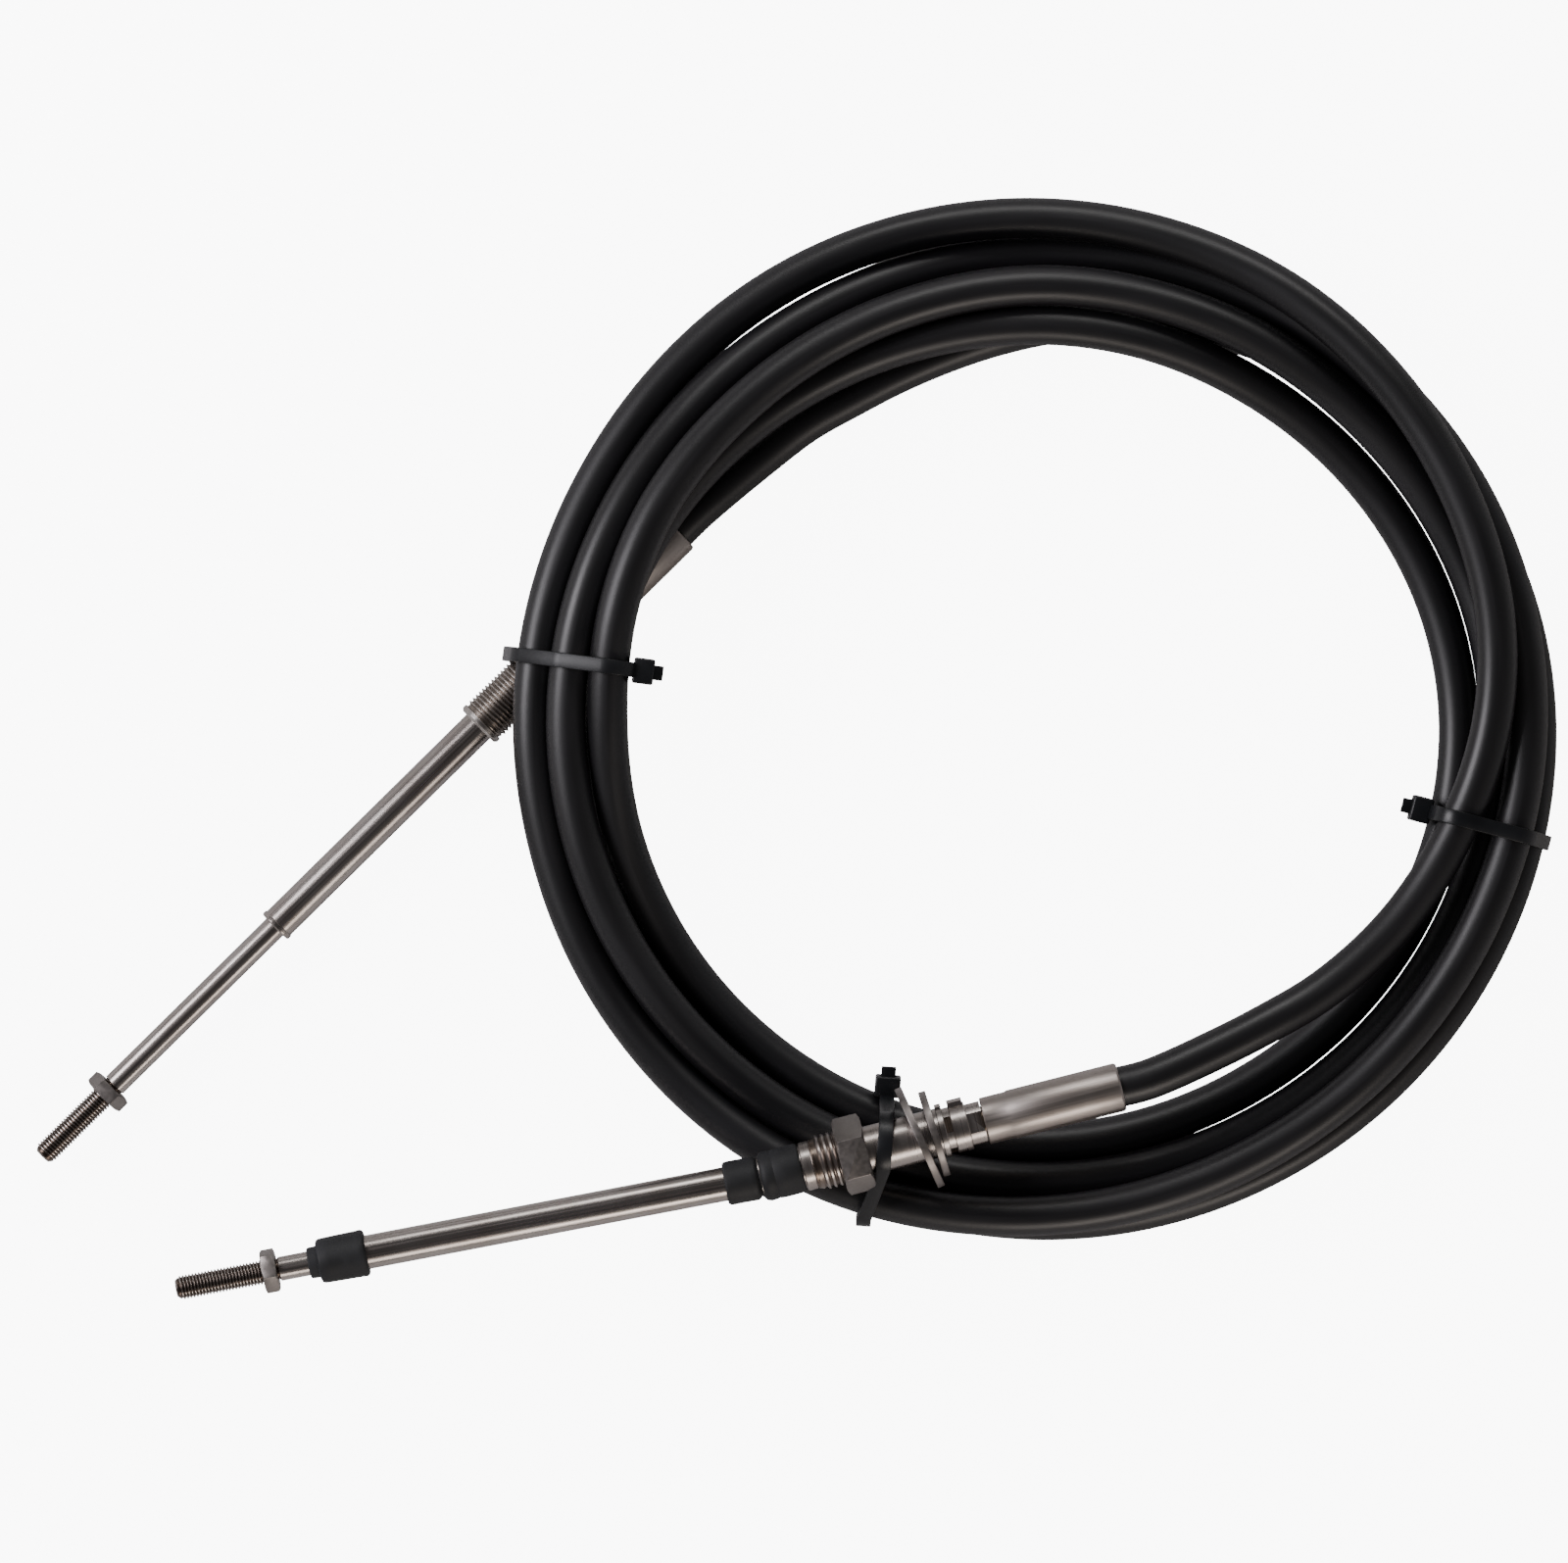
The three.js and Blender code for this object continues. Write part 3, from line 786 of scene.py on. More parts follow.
@dataclass
class Conduit:
    """The jacketed cable, from one crimp sleeve through all its turns to the other."""

    diameter: float = 13.2
    sides: int = 32
    ring_step: float = 4.6
    turn_step: float = 7.5
    mouth_a: float = 117.7
    mouth_b: float = 84.5
    tucked: float = 9.0
    lead: float = 9.0

    def __post_init__(self) -> None:
        """Lines up the stations of all turns by their whole angle."""
        rows = [(angle + 360 * i, r, z) for i, turn in enumerate(TURNS) for angle, r, z in turn]
        self.angles = [row[0] for row in rows]
        self.values = [Vector(row[1:]) for row in rows]

    def coil_point(self, angle: float) -> Vector:
        """Gives the middle of the cable at an angle, counted on through the turns.

        Args:
            angle: Degrees from the first turn's zero.

        Returns:
            The point in the coil's frame.
        """
        last = len(self.angles) - 1
        i = max(1, sum(1 for station in self.angles[:last] if station <= angle))
        t0, t1 = self.angles[i - 1], self.angles[i]
        v0, v1 = self.values[i - 1], self.values[i]
        before = (self.angles[i - 2], self.values[i - 2]) if i > 1 else (2 * t0 - t1, v1)
        after = (self.angles[i + 1], self.values[i + 1]) if i < last else (2 * t1 - t0, v0)
        half, p = (t1 - t0) / 2, (angle - t0) / (t1 - t0)
        w0, w1 = half / (t0 - before[0]), half / (after[0] - t1)
        square, cube = p * p, p * p * p
        value = (
            before[1] * (-w0 * cube + 2 * w0 * square - w0 * p)
            + v0 * ((1 + w0) * cube + (-1.5 - 2 * w0) * square + (-0.5 + w0) * p + 1)
            + v1 * ((-1 - w1) * cube + (1.5 + w1) * square + 0.5 * p)
            + after[1] * (w1 * cube - w1 * square)
        )
        turn = math.radians(angle)
        return Vector((value.x * math.cos(turn), value.x * math.sin(turn), value.y))

    def knots(self) -> list[Vector]:
        """Gives the points that the route passes through, in the coil's frame."""
        first, last = self.angles[0], self.angles[-1]
        steps = round((last - first) / self.turn_step)
        coil = [self.coil_point(first + (last - first) * i / steps) for i in range(steps + 1)]
        reach_a = (-self.tucked, -self.tucked / 2, 0.0, self.lead)
        start = [HUB_A.local(self.mouth_a + x) for x in reach_a]
        end = [HUB_B.local(self.mouth_b + x) for x in reversed(reach_a)]
        return [*start, *coil, *end]

    def route(self) -> np.ndarray:
        """Gives evenly spaced points of the smooth route, in metres in the part's frame."""
        knots = self.knots()
        knots = [2 * knots[0] - knots[1], *knots, 2 * knots[-1] - knots[-2]]
        fine: list[Vector] = []
        for p0, p1, p2, p3 in zip(knots, knots[1:], knots[2:], knots[3:]):
            d0, d1, d2 = (math.sqrt((b - a).length) for a, b in ((p0, p1), (p1, p2), (p2, p3)))
            m1 = ((p1 - p0) / d0 - (p2 - p0) / (d0 + d1) + (p2 - p1) / d1) * d1
            m2 = ((p2 - p1) / d1 - (p3 - p1) / (d1 + d2) + (p3 - p2) / d2) * d1
            for i in range(16):
                t = i / 16
                fine.append(
                    p1 * (2 * t**3 - 3 * t**2 + 1) + m1 * (t**3 - 2 * t**2 + t)
                    + p2 * (3 * t**2 - 2 * t**3) + m2 * (t**3 - t**2)
                )
        fine.append(knots[-2])
        points = np.array([(point + COIL) * MM for point in fine])
        along = np.concatenate([[0], np.cumsum(np.linalg.norm(np.diff(points, axis=0), axis=1))])
        even = np.linspace(0, along[-1], round(along[-1] / (self.ring_step * MM)) + 1)
        return np.stack([np.interp(even, along, points[:, i]) for i in range(3)], axis=1)

    def build(self) -> Piece:
        """Sweeps the jacket along the route, with a map that runs along and round it."""
        path = self.route()
        ahead = np.gradient(path, axis=0)
        ahead /= np.linalg.norm(ahead, axis=1)[:, None]
        side = np.cross(ahead, (0.0, 0.0, 1.0))
        side /= np.linalg.norm(side, axis=1)[:, None]
        up = np.cross(side, ahead)
        turn = np.arange(self.sides) * 2 * math.pi / self.sides
        rise, swing = (wave(turn)[None, :, None] for wave in (np.cos, np.sin))
        ring = up[:, None] * rise + side[:, None] * swing
        points = path[:, None] + ring * (self.diameter / 2 * MM)
        rings, sides = len(path), self.sides
        faces = [
            (i * sides + j, i * sides + (j + 1) % sides,
             (i + 1) * sides + (j + 1) % sides, (i + 1) * sides + j)
            for i in range(rings - 1) for j in range(sides)
        ]
        faces += [tuple(reversed(range(sides))), tuple(range((rings - 1) * sides, rings * sides))]
        mesh = bpy.data.meshes.new("conduit_jacket")
        mesh.from_pydata(points.reshape(-1, 3).tolist(), [], faces)
        jacket = bpy.data.objects.new("conduit_jacket", mesh)
        bpy.context.scene.collection.objects.link(jacket)
        self.unwrap(mesh, path)
        Bench.take(jacket)
        bpy.ops.object.mode_set(mode="EDIT")
        Bench.outward()
        return jacket

    def unwrap(self, mesh: bpy.types.Mesh, path: np.ndarray) -> None:
        """Maps the jacket in metres: U along the cable, V round it.

        Args:
            mesh: The jacket's mesh.
            path: The middle of each ring.
        """
        step = np.linalg.norm(path[1] - path[0])
        layer = mesh.uv_layers.new(name="along")
        girth = math.pi * self.diameter * MM
        for face in mesh.polygons:
            places = [divmod(mesh.loops[i].vertex_index, self.sides) for i in face.loop_indices]
            wraps = max(j for _, j in places) - min(j for _, j in places) > self.sides / 2
            for i, (row, j) in zip(face.loop_indices, places):
                whole = j + self.sides if wraps and j < self.sides / 2 else j
                layer.data[i].uv = (row * step, whole / self.sides * girth)

    def make(self) -> None:
        jacket = self.build()
        Bench.dress(jacket, JACKET.material(HUB_A), "jacket", "coil", "conduit")


# Rod ends


@dataclass
class RodEnd:
    """A support tube on its ball, with the rod that slides in it and the rod's jam nut."""

    letter: str
    seat: Seat
    ball: float
    neck: float
    neck_length: float
    tube_length: float
    lip: float
    lip_length: float
    rod_inner: float
    rod_tip: float
    nut_at: float
    nut_turn: float
    tube_diameter: float = 11.1
    wall: float = 1.25
    rod_diameter: float = 7.94
    thread_pitch: float = 1.058
    thread_depth: float = 0.65
    tip_chamfer: float = 0.9

    def tube(self) -> Piece:
        """Makes the drawn tube with its ball and its open end."""
        outer, ball = self.tube_diameter / 2, self.ball / 2
        bore = outer - self.wall
        back = math.pi - math.asin((bore + self.wall / 2) / ball)
        front = math.asin(self.neck / 2 / ball)
        end = self.tube_length
        outline = [(ball * math.cos(back), bore), *arc(ball, back, front, 14)]
        outline += [(self.neck_length, self.neck / 2), (self.neck_length + GAP, outer)]
        if self.lip_length > 0:
            lip, rim = self.lip / 2, self.lip_length
            outline += [
                (end - rim - GAP, outer), (end - rim, lip - 0.1), (end - rim * 0.6, lip),
                (end - rim * 0.25, lip), (end, lip - 0.35), (end, bore + 0.35), (end - 0.35, bore),
            ]
        else:
            outline += [
                (end - GAP, outer), (end, outer - GAP), (end, bore + GAP), (end - GAP, bore)
            ]
        tube = Bench.turn(f"tube_{self.letter}_drawn", outline, 72)
        Bench.place(tube, self.seat)
        return tube

    def rod(self) -> Piece:
        """Makes the rod, with the thread that runs from under the nut to the tip."""
        outer, root = self.rod_diameter / 2, self.rod_diameter / 2 - self.thread_depth
        start, tip, chamfer = self.nut_at - 0.9, self.rod_tip, self.tip_chamfer
        core = Bench.turn(
            f"rod_{self.letter}_steel",
            [
                (self.rod_inner, 0), (self.rod_inner, outer), (start, outer), (start + 0.5, root),
                (tip - chamfer, root), (tip, root - chamfer * 0.75), (tip, 0),
            ],
            48,
        )
        along, radius = Bench.profile(core)
        # The core under the thread gets painted shade with grime.
        in_thread = (along > start + 0.2) & (along < tip - 0.2) & (radius > 1)
        Bench.hollow_shade_and_grime(core, np.where(in_thread, 1.0, 0.0))
        thread = Thread(root, outer, self.thread_pitch, start, tip - start - 0.3)
        rod = Bench.join([core, thread.build("thread")])
        Bench.place(rod, self.seat)
        return rod

    def nut(self) -> Piece:
        """Makes the jam nut."""
        nut = HexNut(12.7, 4.76, self.rod_diameter + 2 * GAP, 0.5)
        nut = nut.build(f"jam_nut_{self.letter}_hex")
        Bench.place(nut, self.seat, self.nut_at, self.nut_turn + 30)
        return nut

    def make(self) -> None:
        """Builds and dresses the tube, the rod and the nut."""
        letter, steel = self.letter, "stainless_steel"
        drawn = DRAWN_STEEL.material(self.seat)
        tumbled = TUMBLED_STEEL.material(self.seat)
        Bench.dress(self.tube(), drawn, steel, f"tube_{letter}", f"support_tube_{letter}")
        Bench.dress(self.rod(), drawn, steel, f"rod_{letter}", f"rod_{letter}")
        Bench.dress(self.nut(), tumbled, steel, f"rod_{letter}", f"jam_nut_{letter}")
        LOG.info("tube, rod and jam nut of end %s", letter.upper())


@dataclass
class WiperSeal:
    """The rubber wiper on the open end of tube A."""

    start: float = 132.9
    length: float = 16.0
    back: float = 15.4
    front: float = 14.6
    nose: float = 10.4
    nose_length: float = 3.2
    tube_end: float = 146.0

    def make(self) -> None:
        """Builds and dresses the wiper."""
        tube, rod = 11.1 / 2 + 0.05, 7.94 / 2 + GAP
        back, front, nose = self.back / 2, self.front / 2, self.nose / 2
        face, shoulder = self.start + self.length, self.tube_end + GAP
        outline = [
            (self.start, tube), (self.start, back - 1.0), (self.start + 0.3, back - 0.4),
            (self.start + 1.0, back), (self.start + 2.4, back - 0.1),
            (face - 4.0, front + 0.1), (face - 1.2, front), (face - 0.4, front - 0.35),
            (face, front - 1.1), (face, nose + 0.5),
            (face + 0.3, nose), (face + self.nose_length - 0.5, nose - 0.1),
            (face + self.nose_length, nose - 0.5), (face + self.nose_length, rod),
            (shoulder, rod), (shoulder, tube),
        ]
        seal = Bench.turn("wiper_seal_a", outline, 64)
        Bench.place(seal, TUBE_A)
        Bench.dress(seal, RUBBER.material(TUBE_A), "rubber", "tube_a", "rod_seal_a")
        LOG.info("wiper_seal_a")


@dataclass
class Boot:
    """The rubber boot over swivel A, one piece with a groove where it bends."""

    front_end: float = -14.65
    front: float = 14.4
    rear: float = 16.4
    rear_end: float = 10.9
    groove_at: float = -3.3
    facets: int = 72

    def outline(self) -> Outline:
        """Gives the boot's section, from the tube's side to the hub's side."""
        tube, hub = 11.1 / 2 + 0.05, 13.8 / 2 + 0.05
        front, rear, mid = self.front / 2, self.rear / 2, self.groove_at
        start, end = self.front_end, self.rear_end
        ripples = enumerate(np.linspace(-12.6, mid - 2.6, 7))
        outer: Outline = [(start, tube), (start, front - 0.8), (start + 0.7, front - 0.15)]
        outer += [(x, front - 0.05 * (i % 2)) for i, x in ripples]
        outer += [
            (mid - 1.4, front), (mid - 0.7, front - 0.35), (mid - 0.2, front - 1.0),
            (mid, front - 1.15), (mid + 0.2, front - 1.0), (mid + 0.6, rear - 1.1),
            (mid + 1.3, rear - 0.35), (mid + 2.4, rear), (mid + 4.2, rear - 0.1),
            (mid + 5.0, rear - 0.35), (mid + 5.8, rear - 0.1), (mid + 8.0, rear),
            (end - 1.2, rear - 0.1), (end - 0.4, rear - 0.4), (end, rear - 1.0), (end, hub),
        ]
        return [*outer, (-2.5, hub), (-4.2, tube)]

    def make(self) -> None:
        """Builds the boot along the hub's axis, bends its front to the tube and dresses it."""
        boot = Bench.turn("swivel_boot_a", self.outline(), self.facets)
        points = Bench.coordinates(boot)
        share = np.clip((1.0 - points[:, 0] / MM) / 6.0, 0, 1)
        bend = math.radians(TUBE_A.angle - 180 - HUB_A.angle) * share * share * (3 - 2 * share)
        x, y = points[:, 0].copy(), points[:, 1].copy()
        points[:, 0] = x * np.cos(bend) - y * np.sin(bend)
        points[:, 1] = x * np.sin(bend) + y * np.cos(bend)
        Bench.reshape(boot, points)
        Bench.place(boot, HUB_A)
        Bench.take(boot)
        bpy.ops.object.shade_smooth_by_angle(angle=math.radians(34))
        boot.data.materials.append(RUBBER.material(HUB_A))
        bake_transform(boot)
        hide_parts("boot_front_a", "boot_rear_a")
        LOG.info("swivel_boot_a")


# Hubs


@dataclass
class PanelHub:
    """The turned fitting of end A, with its hull nut and the two loose plates behind it."""

    collar: float = 11.2
    collar_length: float = 3.7
    thread_root: float = 8.1
    thread_crest: float = 9.0
    thread_pitch: float = 2.0
    shank: float = 33.2
    shank_radius: float = 7.95
    ring: float = 57.2
    key_ring: float = 61.4
    key_ring_length: float = 5.3
    end: float = 71.6
    groove: float = 6.5
    cage: float = 7.45

    def slotted(self, hub: Piece) -> Piece:
        """Cuts the slots behind the rings and adds the two keys beside them.

        Args:
            hub: The turned hub.

        Returns:
            The hub.
        """
        key_end = self.key_ring + self.key_ring_length
        for start, end, wide, roll in (
            (self.ring + 2.0, self.key_ring, 5.4, -17), (key_end, self.end, 6.6, -5)
        ):
            for turn in range(4):
                size = (end - start, wide, 3.0)
                at = ((start + end) / 2, 0, self.groove + 1.5)
                slot = Bench.block("slot", size, at, roll + 90 * turn)
                Bench.cut(hub, slot, "DIFFERENCE")
        at = (self.key_ring + 1.7, 0, self.groove + 1.5)
        notch = Bench.block("notch", (3.4, 3.4, 3.0), at, 82)
        Bench.cut(hub, notch, "DIFFERENCE")
        for start, length, top in ((self.key_ring, 4.9, 9.4), (self.ring, 2.0, 9.0)):
            size = (length, 3.6, top - self.groove)
            key = Bench.block("key", size, (start + length / 2, 0, (top + self.groove) / 2), -76)
            Bench.cut(hub, key, "UNION")
        return hub

    def body(self) -> Piece:
        """Makes the hub's turned body."""
        thread = self.collar + self.collar_length
        shank, ring, key = self.shank_radius, self.ring, self.key_ring
        key_end = key + self.key_ring_length
        outline = [
            (-3.0, 6.55), (-3.0, 6.9), (self.collar, 6.9), (self.collar, shank - 0.3),
            (self.collar + 0.3, shank), (thread - 0.5, shank), (thread - 0.2, shank - 0.3),
            (thread, self.thread_root), (self.shank, self.thread_root), (self.shank, shank),
            (ring, shank), (ring, 8.3), (ring + 0.2, 8.5), (ring + 1.8, 8.5), (ring + 2.0, 8.3),
            (ring + 2.0, self.cage), (key, self.cage), (key, 7.75), (key + 0.25, 8.0),
            (key_end - 0.25, 8.0), (key_end, 7.75), (key_end, self.cage), (self.end, self.cage),
            (self.end, 5.0), (self.end + 8.0, 5.0), (self.end + 8.0, 2.5), (5.7, 2.5), (0.0, 6.2),
        ]
        hub = self.slotted(Bench.turn("panel_hub_a", outline, 80))
        along, radius = Bench.profile(hub)
        root = self.thread_root
        # The thread's core and the floors of the slots get painted shade with grime.
        in_thread = (along > thread - 0.1) & (along < self.shank) & (radius < root + 0.05)
        in_groove = (along > ring) & (along < self.end + 0.1) & (radius < self.groove + 0.6)
        Bench.hollow_shade_and_grime(hub, np.where(in_thread | in_groove, 1.0, 0.0))
        thread_length = self.shank - thread - 0.4
        ridge = Thread(
            self.thread_root, self.thread_crest, self.thread_pitch, thread, thread_length, 72, 0.14
        )
        hub = Bench.join([hub, ridge.build("ridge")])
        Bench.place(hub, HUB_A)
        return hub

    def plate(
        self, name: str, diameter: float, thickness: float, at: float, lean: float, play: float
    ) -> Piece:
        """Makes a round plate that leans on the shank.

        Args:
            name: The object's name.
            diameter: Outer diameter.
            thickness: The plate's thickness.
            at: Where its middle is along the hub.
            lean: Degrees that it leans.
            play: Clearance of its hole.

        Returns:
            The plate.
        """
        half, lean_angle = thickness / 2, math.radians(lean)
        bore = self.shank_radius / math.cos(lean_angle) + half * math.tan(lean_angle) + play
        outline = [(-half, bore), (-half, diameter / 2), (half, diameter / 2), (half, bore)]
        plate = Bench.turn(name, outline, 96)
        Bench.soften(plate, 0.22, 3)
        Bench.place(plate, HUB_A, at, lean=lean)
        return plate

    def make(self) -> None:
        """Builds and dresses the hub, the nut and the plates."""
        turned, tumbled = TURNED_STEEL.material(HUB_A), TUMBLED_STEEL.material(HUB_A)
        steel = "stainless_steel"
        Bench.dress(self.body(), turned, steel, "coil", "hub_a")
        nut = HexNut(22.2, 9.5, 18.6, 0.6).build("hull_nut_hex")
        Bench.place(nut, HUB_A, self.shank - 9.5 - GAP, 5.0)
        Bench.dress(nut, tumbled, steel, "coil", "hull_nut")
        clip = self.plate("clip_plate_disc", 35.0, 2.4, 50.3, 10.0, 0.6)
        Bench.dress(clip, tumbled, steel, "coil", "clip_plate")
        washer = self.plate("washer_disc", 28.6, 2.4, 55.2, 3.0, 0.35)
        Bench.dress(washer, tumbled, steel, "coil", "washer")
        LOG.info("panel hub, hull nut and plates of end A")


@dataclass
class PlainHub:
    """The threaded hub of end B."""

    front: float = -7.0
    length: float = 45.4
    thread_end: float = 33.4
    radius: float = 7.95
    root: float = 7.1
    pitch: float = 1.411
    first_ring: float = 2.4

    def make(self) -> None:
        """Builds and dresses the hub."""
        front, end, outer = self.front, self.front + self.length, self.radius
        start = front + self.first_ring
        outline = [
            (front, 6.2), (front, outer - 0.8), (front + 0.8, outer), (start - 0.3, outer),
            (start, self.root), (self.thread_end, self.root), (self.thread_end, 6.5), (end, 6.5),
            (end, 5.0), (end + 8.0, 5.0), (end + 8.0, 2.5), (6.6, 2.5), (0.0, 7.0), (-2.0, 6.7),
        ]
        hub = Bench.turn("threaded_hub_b", outline, 64)
        along, radius = Bench.profile(hub)
        # The core under the thread gets painted shade with grime.
        deep = (along > start - 0.1) & (radius < self.root + 0.05)
        Bench.hollow_shade_and_grime(hub, np.where(deep, 1.0, 0.0))
        thread = Thread(self.root, outer, self.pitch, start - 0.3, self.thread_end - start, 56)
        hub = Bench.join([hub, thread.build("thread")])
        Bench.place(hub, HUB_B)
        Bench.dress(hub, PALE_STEEL.material(HUB_B), "stainless_steel", "coil", "hub_b")
        LOG.info("threaded_hub_b")


@dataclass
class CrimpSleeve:
    """The sleeve that is crimped over the conduit and the hub's spigot."""

    letter: str
    seat: Seat
    start: float
    neck: float = 7.7
    neck_length: float = 9.2
    outer: float = 8.0
    length: float = 36.6

    def make(self) -> None:
        """Builds and dresses the sleeve."""
        body, end = self.start + self.neck_length, self.start + self.neck_length + self.length
        outline = [
            (self.start, 5.3), (self.start, self.neck - 0.3), (self.start + 0.3, self.neck),
            (body - 0.6, self.neck), (body, self.outer), (end - 0.8, self.outer),
            (end - 0.2, self.outer - 0.35), (end, self.outer - 0.6), (end, 6.95), (end - 0.4, 6.7),
            (body, 6.7), (body, 5.3),
        ]
        sleeve = Bench.turn(f"crimp_sleeve_{self.letter}_steel", outline, 72)
        Bench.place(sleeve, self.seat)
        material = SLEEVE_STEEL.material(self.seat)
        Bench.dress(sleeve, material, "stainless_steel", "coil", f"crimp_sleeve_{self.letter}")
        LOG.info("crimp sleeve of end %s", self.letter.upper())


# Cable ties


@dataclass
class CableTie:
    """A nylon tie: its strap round what it holds, its ratchet head and its cut tail."""

    name: str
    spot: tuple[float, float]
    plane: float
    side: float
    slide: float
    slack: float
    conduit: Conduit
    aside: float = 0.0
    drift: float = 0.0
    bend_from: float = 9.0
    bend_length: float = 17.0
    strap_width: float = 4.8
    strap: float = 1.3
    head: tuple[float, float, float] = (6.8, 6.6, 8.4)
    tail: float = 3.0
    reach: float = 40.0
    points: int = 120

    def held(self) -> list[tuple[float, float, float, float]]:
        """Gives the sections that the loop holds: place, height and half sizes of each."""
        plane = math.radians(self.plane)
        along = Vector((math.cos(plane), math.sin(plane), 0))
        across = Vector((-math.sin(plane), math.cos(plane), 0))
        middle = Vector((*self.spot, 0))
        first, last = int(self.conduit.angles[0]), int(self.conduit.angles[-1])
        coil = [self.conduit.coil_point(angle) for angle in range(first, last + 1)]
        spans = [(a, b, self.conduit.diameter / 2) for a, b in zip(coil, coil[1:])]
        spans += [(hub.local(0), hub.local(71.6), 7.95) for hub in (HUB_A, HUB_B)]
        sections = []
        for start, end, radius in spans:
            before, after = (start - middle).dot(across), (end - middle).dot(across)
            if before * after >= 0:
                continue
            point = start.lerp(end, before / (before - after))
            if (Vector((point.x, point.y, 0)) - middle).length < self.reach:
                flat = Vector((end.x - start.x, end.y - start.y, 0)).normalized()
                slant = math.acos(min(1.0, abs(flat.dot(across))))
                half = radius / math.cos(slant) + self.strap_width / 2 * math.tan(slant)
                sections.append(((point - middle).dot(along), point.z, half, radius))
        return sections

    def loop_point(self, sections: list, direction: float, offset: float) -> Vector:
        """Gives the point of the taut loop that faces a direction.

        Args:
            sections: What the loop holds.
            direction: The direction in radians in the loop's plane.
            offset: How far outside the sections the loop lies.

        Returns:
            The point in the loop's plane.
        """
        c, s = math.cos(direction), math.sin(direction)
        best, found = -math.inf, Vector((0, 0, 0))
        for place, height, half_width, half_height in sections:
            support = math.hypot(half_width * c, half_height * s)
            if place * c + height * s + support > best:
                best = place * c + height * s + support
                x = place + half_width * half_width * c / support + offset * c
                y = height + half_height * half_height * s / support + offset * s
                found = Vector((x, y, 0))
        return found

    def band(self, sections: list) -> Piece:
        """Makes the strap's loop in the XY plane.

        Args:
            sections: What the loop holds.

        Returns:
            The strap.
        """
        inner = GAP + self.slack
        turns = [2 * math.pi * i / self.points for i in range(self.points)]
        line = [self.loop_point(sections, turn, inner) * MM for turn in turns]
        low = Vector((0, 0, -self.strap_width / 2 * MM))
        strap = Bench.wire(self.name, [point + low for point in line], True)
        bpy.ops.mesh.extrude_edges_move(
            TRANSFORM_OT_translate={"value": (0, 0, self.strap_width * MM)}
        )
        Bench.outward()
        Bench.apply(strap, "SOLIDIFY", thickness=self.strap * MM, offset=1.0, use_even_offset=True)
        Bench.soften(strap, 0.3)
        return strap

    def ratchet(self) -> Piece:
        """Makes the head and the cut tail, on the loop's outside at the X axis."""
        out, along, wide = self.head
        head = Bench.block("head", (out, along, wide), (out / 2, self.slide, 0))
        window = Bench.block("window", (out, self.strap + 0.9, 5.4), (out * 0.62, self.slide, 0))
        Bench.cut(head, window, "DIFFERENCE")
        Bench.soften(head, 0.7, 3)
        whole = out + self.tail
        size = (whole, self.strap, self.strap_width)
        tail = Bench.block("tail", size, (whole / 2, self.slide, 0))
        Bench.soften(tail, 0.2)
        return Bench.join([head, tail])

    def make(self) -> None:
        """Builds the tie, stands it up in its plane and dresses it."""
        sections = self.held()
        strap = self.band(sections)
        ratchet = self.ratchet()
        seat = self.loop_point(sections, math.radians(self.side), GAP + self.slack)
        Bench.move(ratchet, Matrix.Translation(seat * MM) @ spin(self.side, "Z"))
        tie = Bench.join([strap, ratchet])
        points = Bench.coordinates(tie)
        share = np.clip((points[:, 0] / MM - self.bend_from) / self.bend_length, 0, 1)
        points[:, 2] += (self.aside + self.drift * share * share * (3 - 2 * share)) * MM
        Bench.reshape(tie, points)
        middle = Seat(*self.spot, 0, 0).point()
        Bench.move(tie, Matrix.Translation(middle) @ spin(self.plane, "Z") @ spin(90, "X"))
        Bench.dress(tie, NYLON.material(HUB_A), "nylon", "coil", self.name.removesuffix("_band"))
        LOG.info("%s, holding %d sections", self.name, len(sections))


# Studio


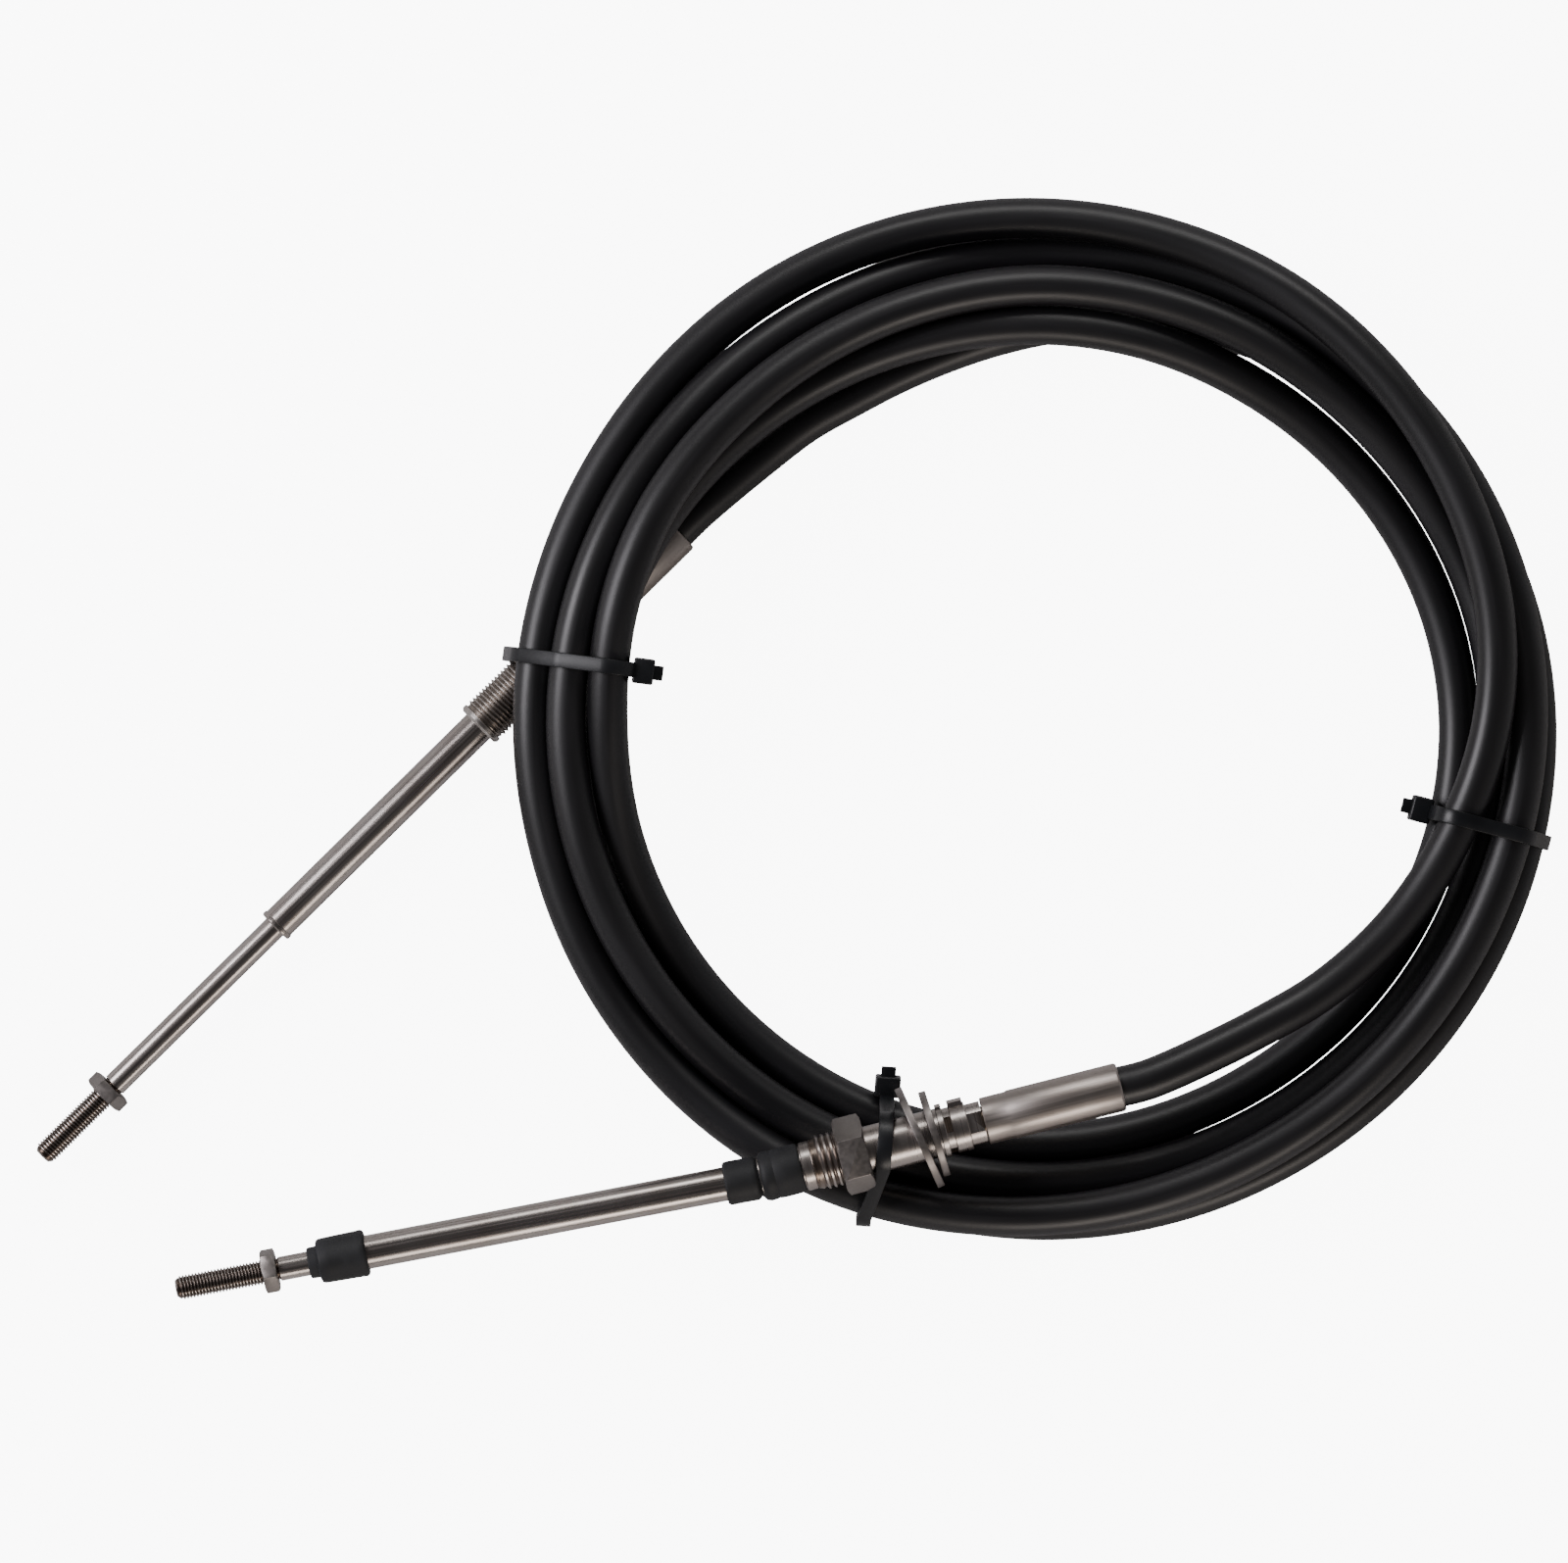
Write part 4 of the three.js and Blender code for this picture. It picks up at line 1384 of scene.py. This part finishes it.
@dataclass
class Studio:
    """The pale floor, the soft lights and the camera that looks straight down."""

    middle: tuple[float, float] = (-0.00377, -0.01100)
    width: float = 0.512
    height: float = 3.0
    level: float = 0.020

    def camera(self) -> None:
        """Adds the camera, so that the part's upper level spans the photograph's width."""
        Bench.rest()
        bpy.ops.object.camera_add(location=(*self.middle, self.height), rotation=(0, 0, 0))
        camera = bpy.context.object
        camera.data.sensor_fit = "HORIZONTAL"
        camera.data.angle = 2 * math.atan(self.width / 2 / (self.height - self.level))
        bpy.context.scene.camera = camera

    def floor(self) -> None:
        """Adds the floor."""
        Bench.rest()
        bpy.ops.mesh.primitive_plane_add(size=8.0, location=(0, 0, 0))
        floor = Bench.added("studio_floor")
        shader = Shader("floor_paper")
        place = shader.add("ShaderNodeTexCoord", {}).outputs["Object"]
        grain = shader.noise(place, (400.0, 400.0, 400.0), 2.0)
        tint = shader.mix(grain, (0.58, 0.58, 0.58, 1), (0.62, 0.62, 0.62, 1))
        seen = shader.add("ShaderNodeLightPath", {}).outputs["Is Camera Ray"]
        glow = shader.span(seen, (0.0, 1.0), (0.0, 9.0))
        shader.feed(
            shader.surface,
            {"Base Color": tint, "Roughness": 0.9, "Emission Color": (1, 1, 1, 1),
             "Emission Strength": glow},
        )
        floor.data.materials.append(shader.material)

    def light(
        self,
        name: str,
        place: Sequence[float],
        size: Sequence[float],
        power: float,
        tint: Sequence[float],
    ) -> None:
        """Adds a softbox that faces the part.

        Args:
            name: The light's name.
            place: Where it stands, in metres.
            size: Its two sizes.
            power: Its power in watts.
            tint: Its colour.
        """
        Bench.rest()
        bpy.ops.object.light_add(type="AREA", location=place)
        light = bpy.context.object
        light.name = name
        light.data.shape = "RECTANGLE"
        light.data.size, light.data.size_y = size
        light.data.energy = power
        light.data.color = tint
        light.rotation_euler = (-Vector(place)).to_track_quat("-Z", "Y").to_euler()

    def sky(self) -> None:
        """Lights the scene from all round, bright at the horizon and dark overhead."""
        world = bpy.data.worlds.new("studio")
        bpy.context.scene.world = world
        world.use_nodes = True
        nodes, links = world.node_tree.nodes, world.node_tree.links
        nodes.clear()
        place = nodes.new("ShaderNodeTexCoord")
        split = nodes.new("ShaderNodeSeparateXYZ")
        ramp = nodes.new("ShaderNodeValToRGB")
        ramp.color_ramp.elements[0].color = (0.42, 0.41, 0.42, 1)
        ramp.color_ramp.elements[1].position = 0.85
        ramp.color_ramp.elements[1].color = (0.055, 0.053, 0.055, 1)
        light = nodes.new("ShaderNodeBackground")
        output = nodes.new("ShaderNodeOutputWorld")
        links.new(place.outputs["Generated"], split.inputs[0])
        links.new(split.outputs["Z"], ramp.inputs[0])
        links.new(ramp.outputs[0], light.inputs["Color"])
        links.new(light.outputs[0], output.inputs["Surface"])

    def make(self) -> None:
        """Sets up the floor and the lights."""
        self.floor()
        self.sky()
        self.light("key_softbox", (-1.5, 0.35, 1.15), (1.1, 0.9), 34.0, (0.98, 0.95, 1.0))
        self.light("top_softbox", (0.15, 1.5, 1.0), (1.4, 0.45), 12.0, (1.0, 0.98, 0.97))
        self.light("warm_softbox", (0.5, -1.5, 0.75), (1.2, 0.5), 11.0, (1.0, 0.90, 0.82))
        LOG.info("floor and lights")


def main() -> None:
    """Builds every sub-assembly of the cable in order."""
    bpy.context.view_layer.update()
    studio = Studio()
    studio.camera()
    conduit = Conduit()
    conduit.make()
    RodEnd(
        "a", TUBE_A, ball=11.8, neck=10.0, neck_length=6.0, tube_length=146.0, lip=11.1,
        lip_length=0.0, rod_inner=20.0, rod_tip=195.9, nut_at=162.5, nut_turn=-14.5,
    ).make()
    RodEnd(
        "b", TUBE_B, ball=13.4, neck=11.1, neck_length=7.0, tube_length=100.5, lip=11.9,
        lip_length=1.6, rod_inner=84.0, rod_tip=207.5, nut_at=175.0, nut_turn=-30.0,
    ).make()
    WiperSeal().make()
    Boot().make()
    PanelHub().make()
    PlainHub().make()
    CrimpSleeve("a", HUB_A, start=71.9).make()
    CrimpSleeve("b", HUB_B, start=38.7).make()
    behind_nut = HUB_A.local(40.0)
    for name, spot, plane, side, slide, slack, aside, drift in (
        ("tie_left_band", (-148.8, 18.8), 172.4, 180, 0, 0.9, 0.0, 0.0),
        ("tie_right_band", (146.0, -34.3), -14.7, 176, -7, 0.2, 0.0, 0.0),
        ("tie_bottom_band", (behind_nut.x, behind_nut.y), 266, 172, -4, 0.4, 1.4, 4.9),
    ):
        CableTie(name, spot, plane, side, slide, slack, conduit, aside, drift).make()
    studio.make()


if __name__ == "__main__":
    logging.basicConfig(level=logging.INFO, format="%(message)s")
    main()
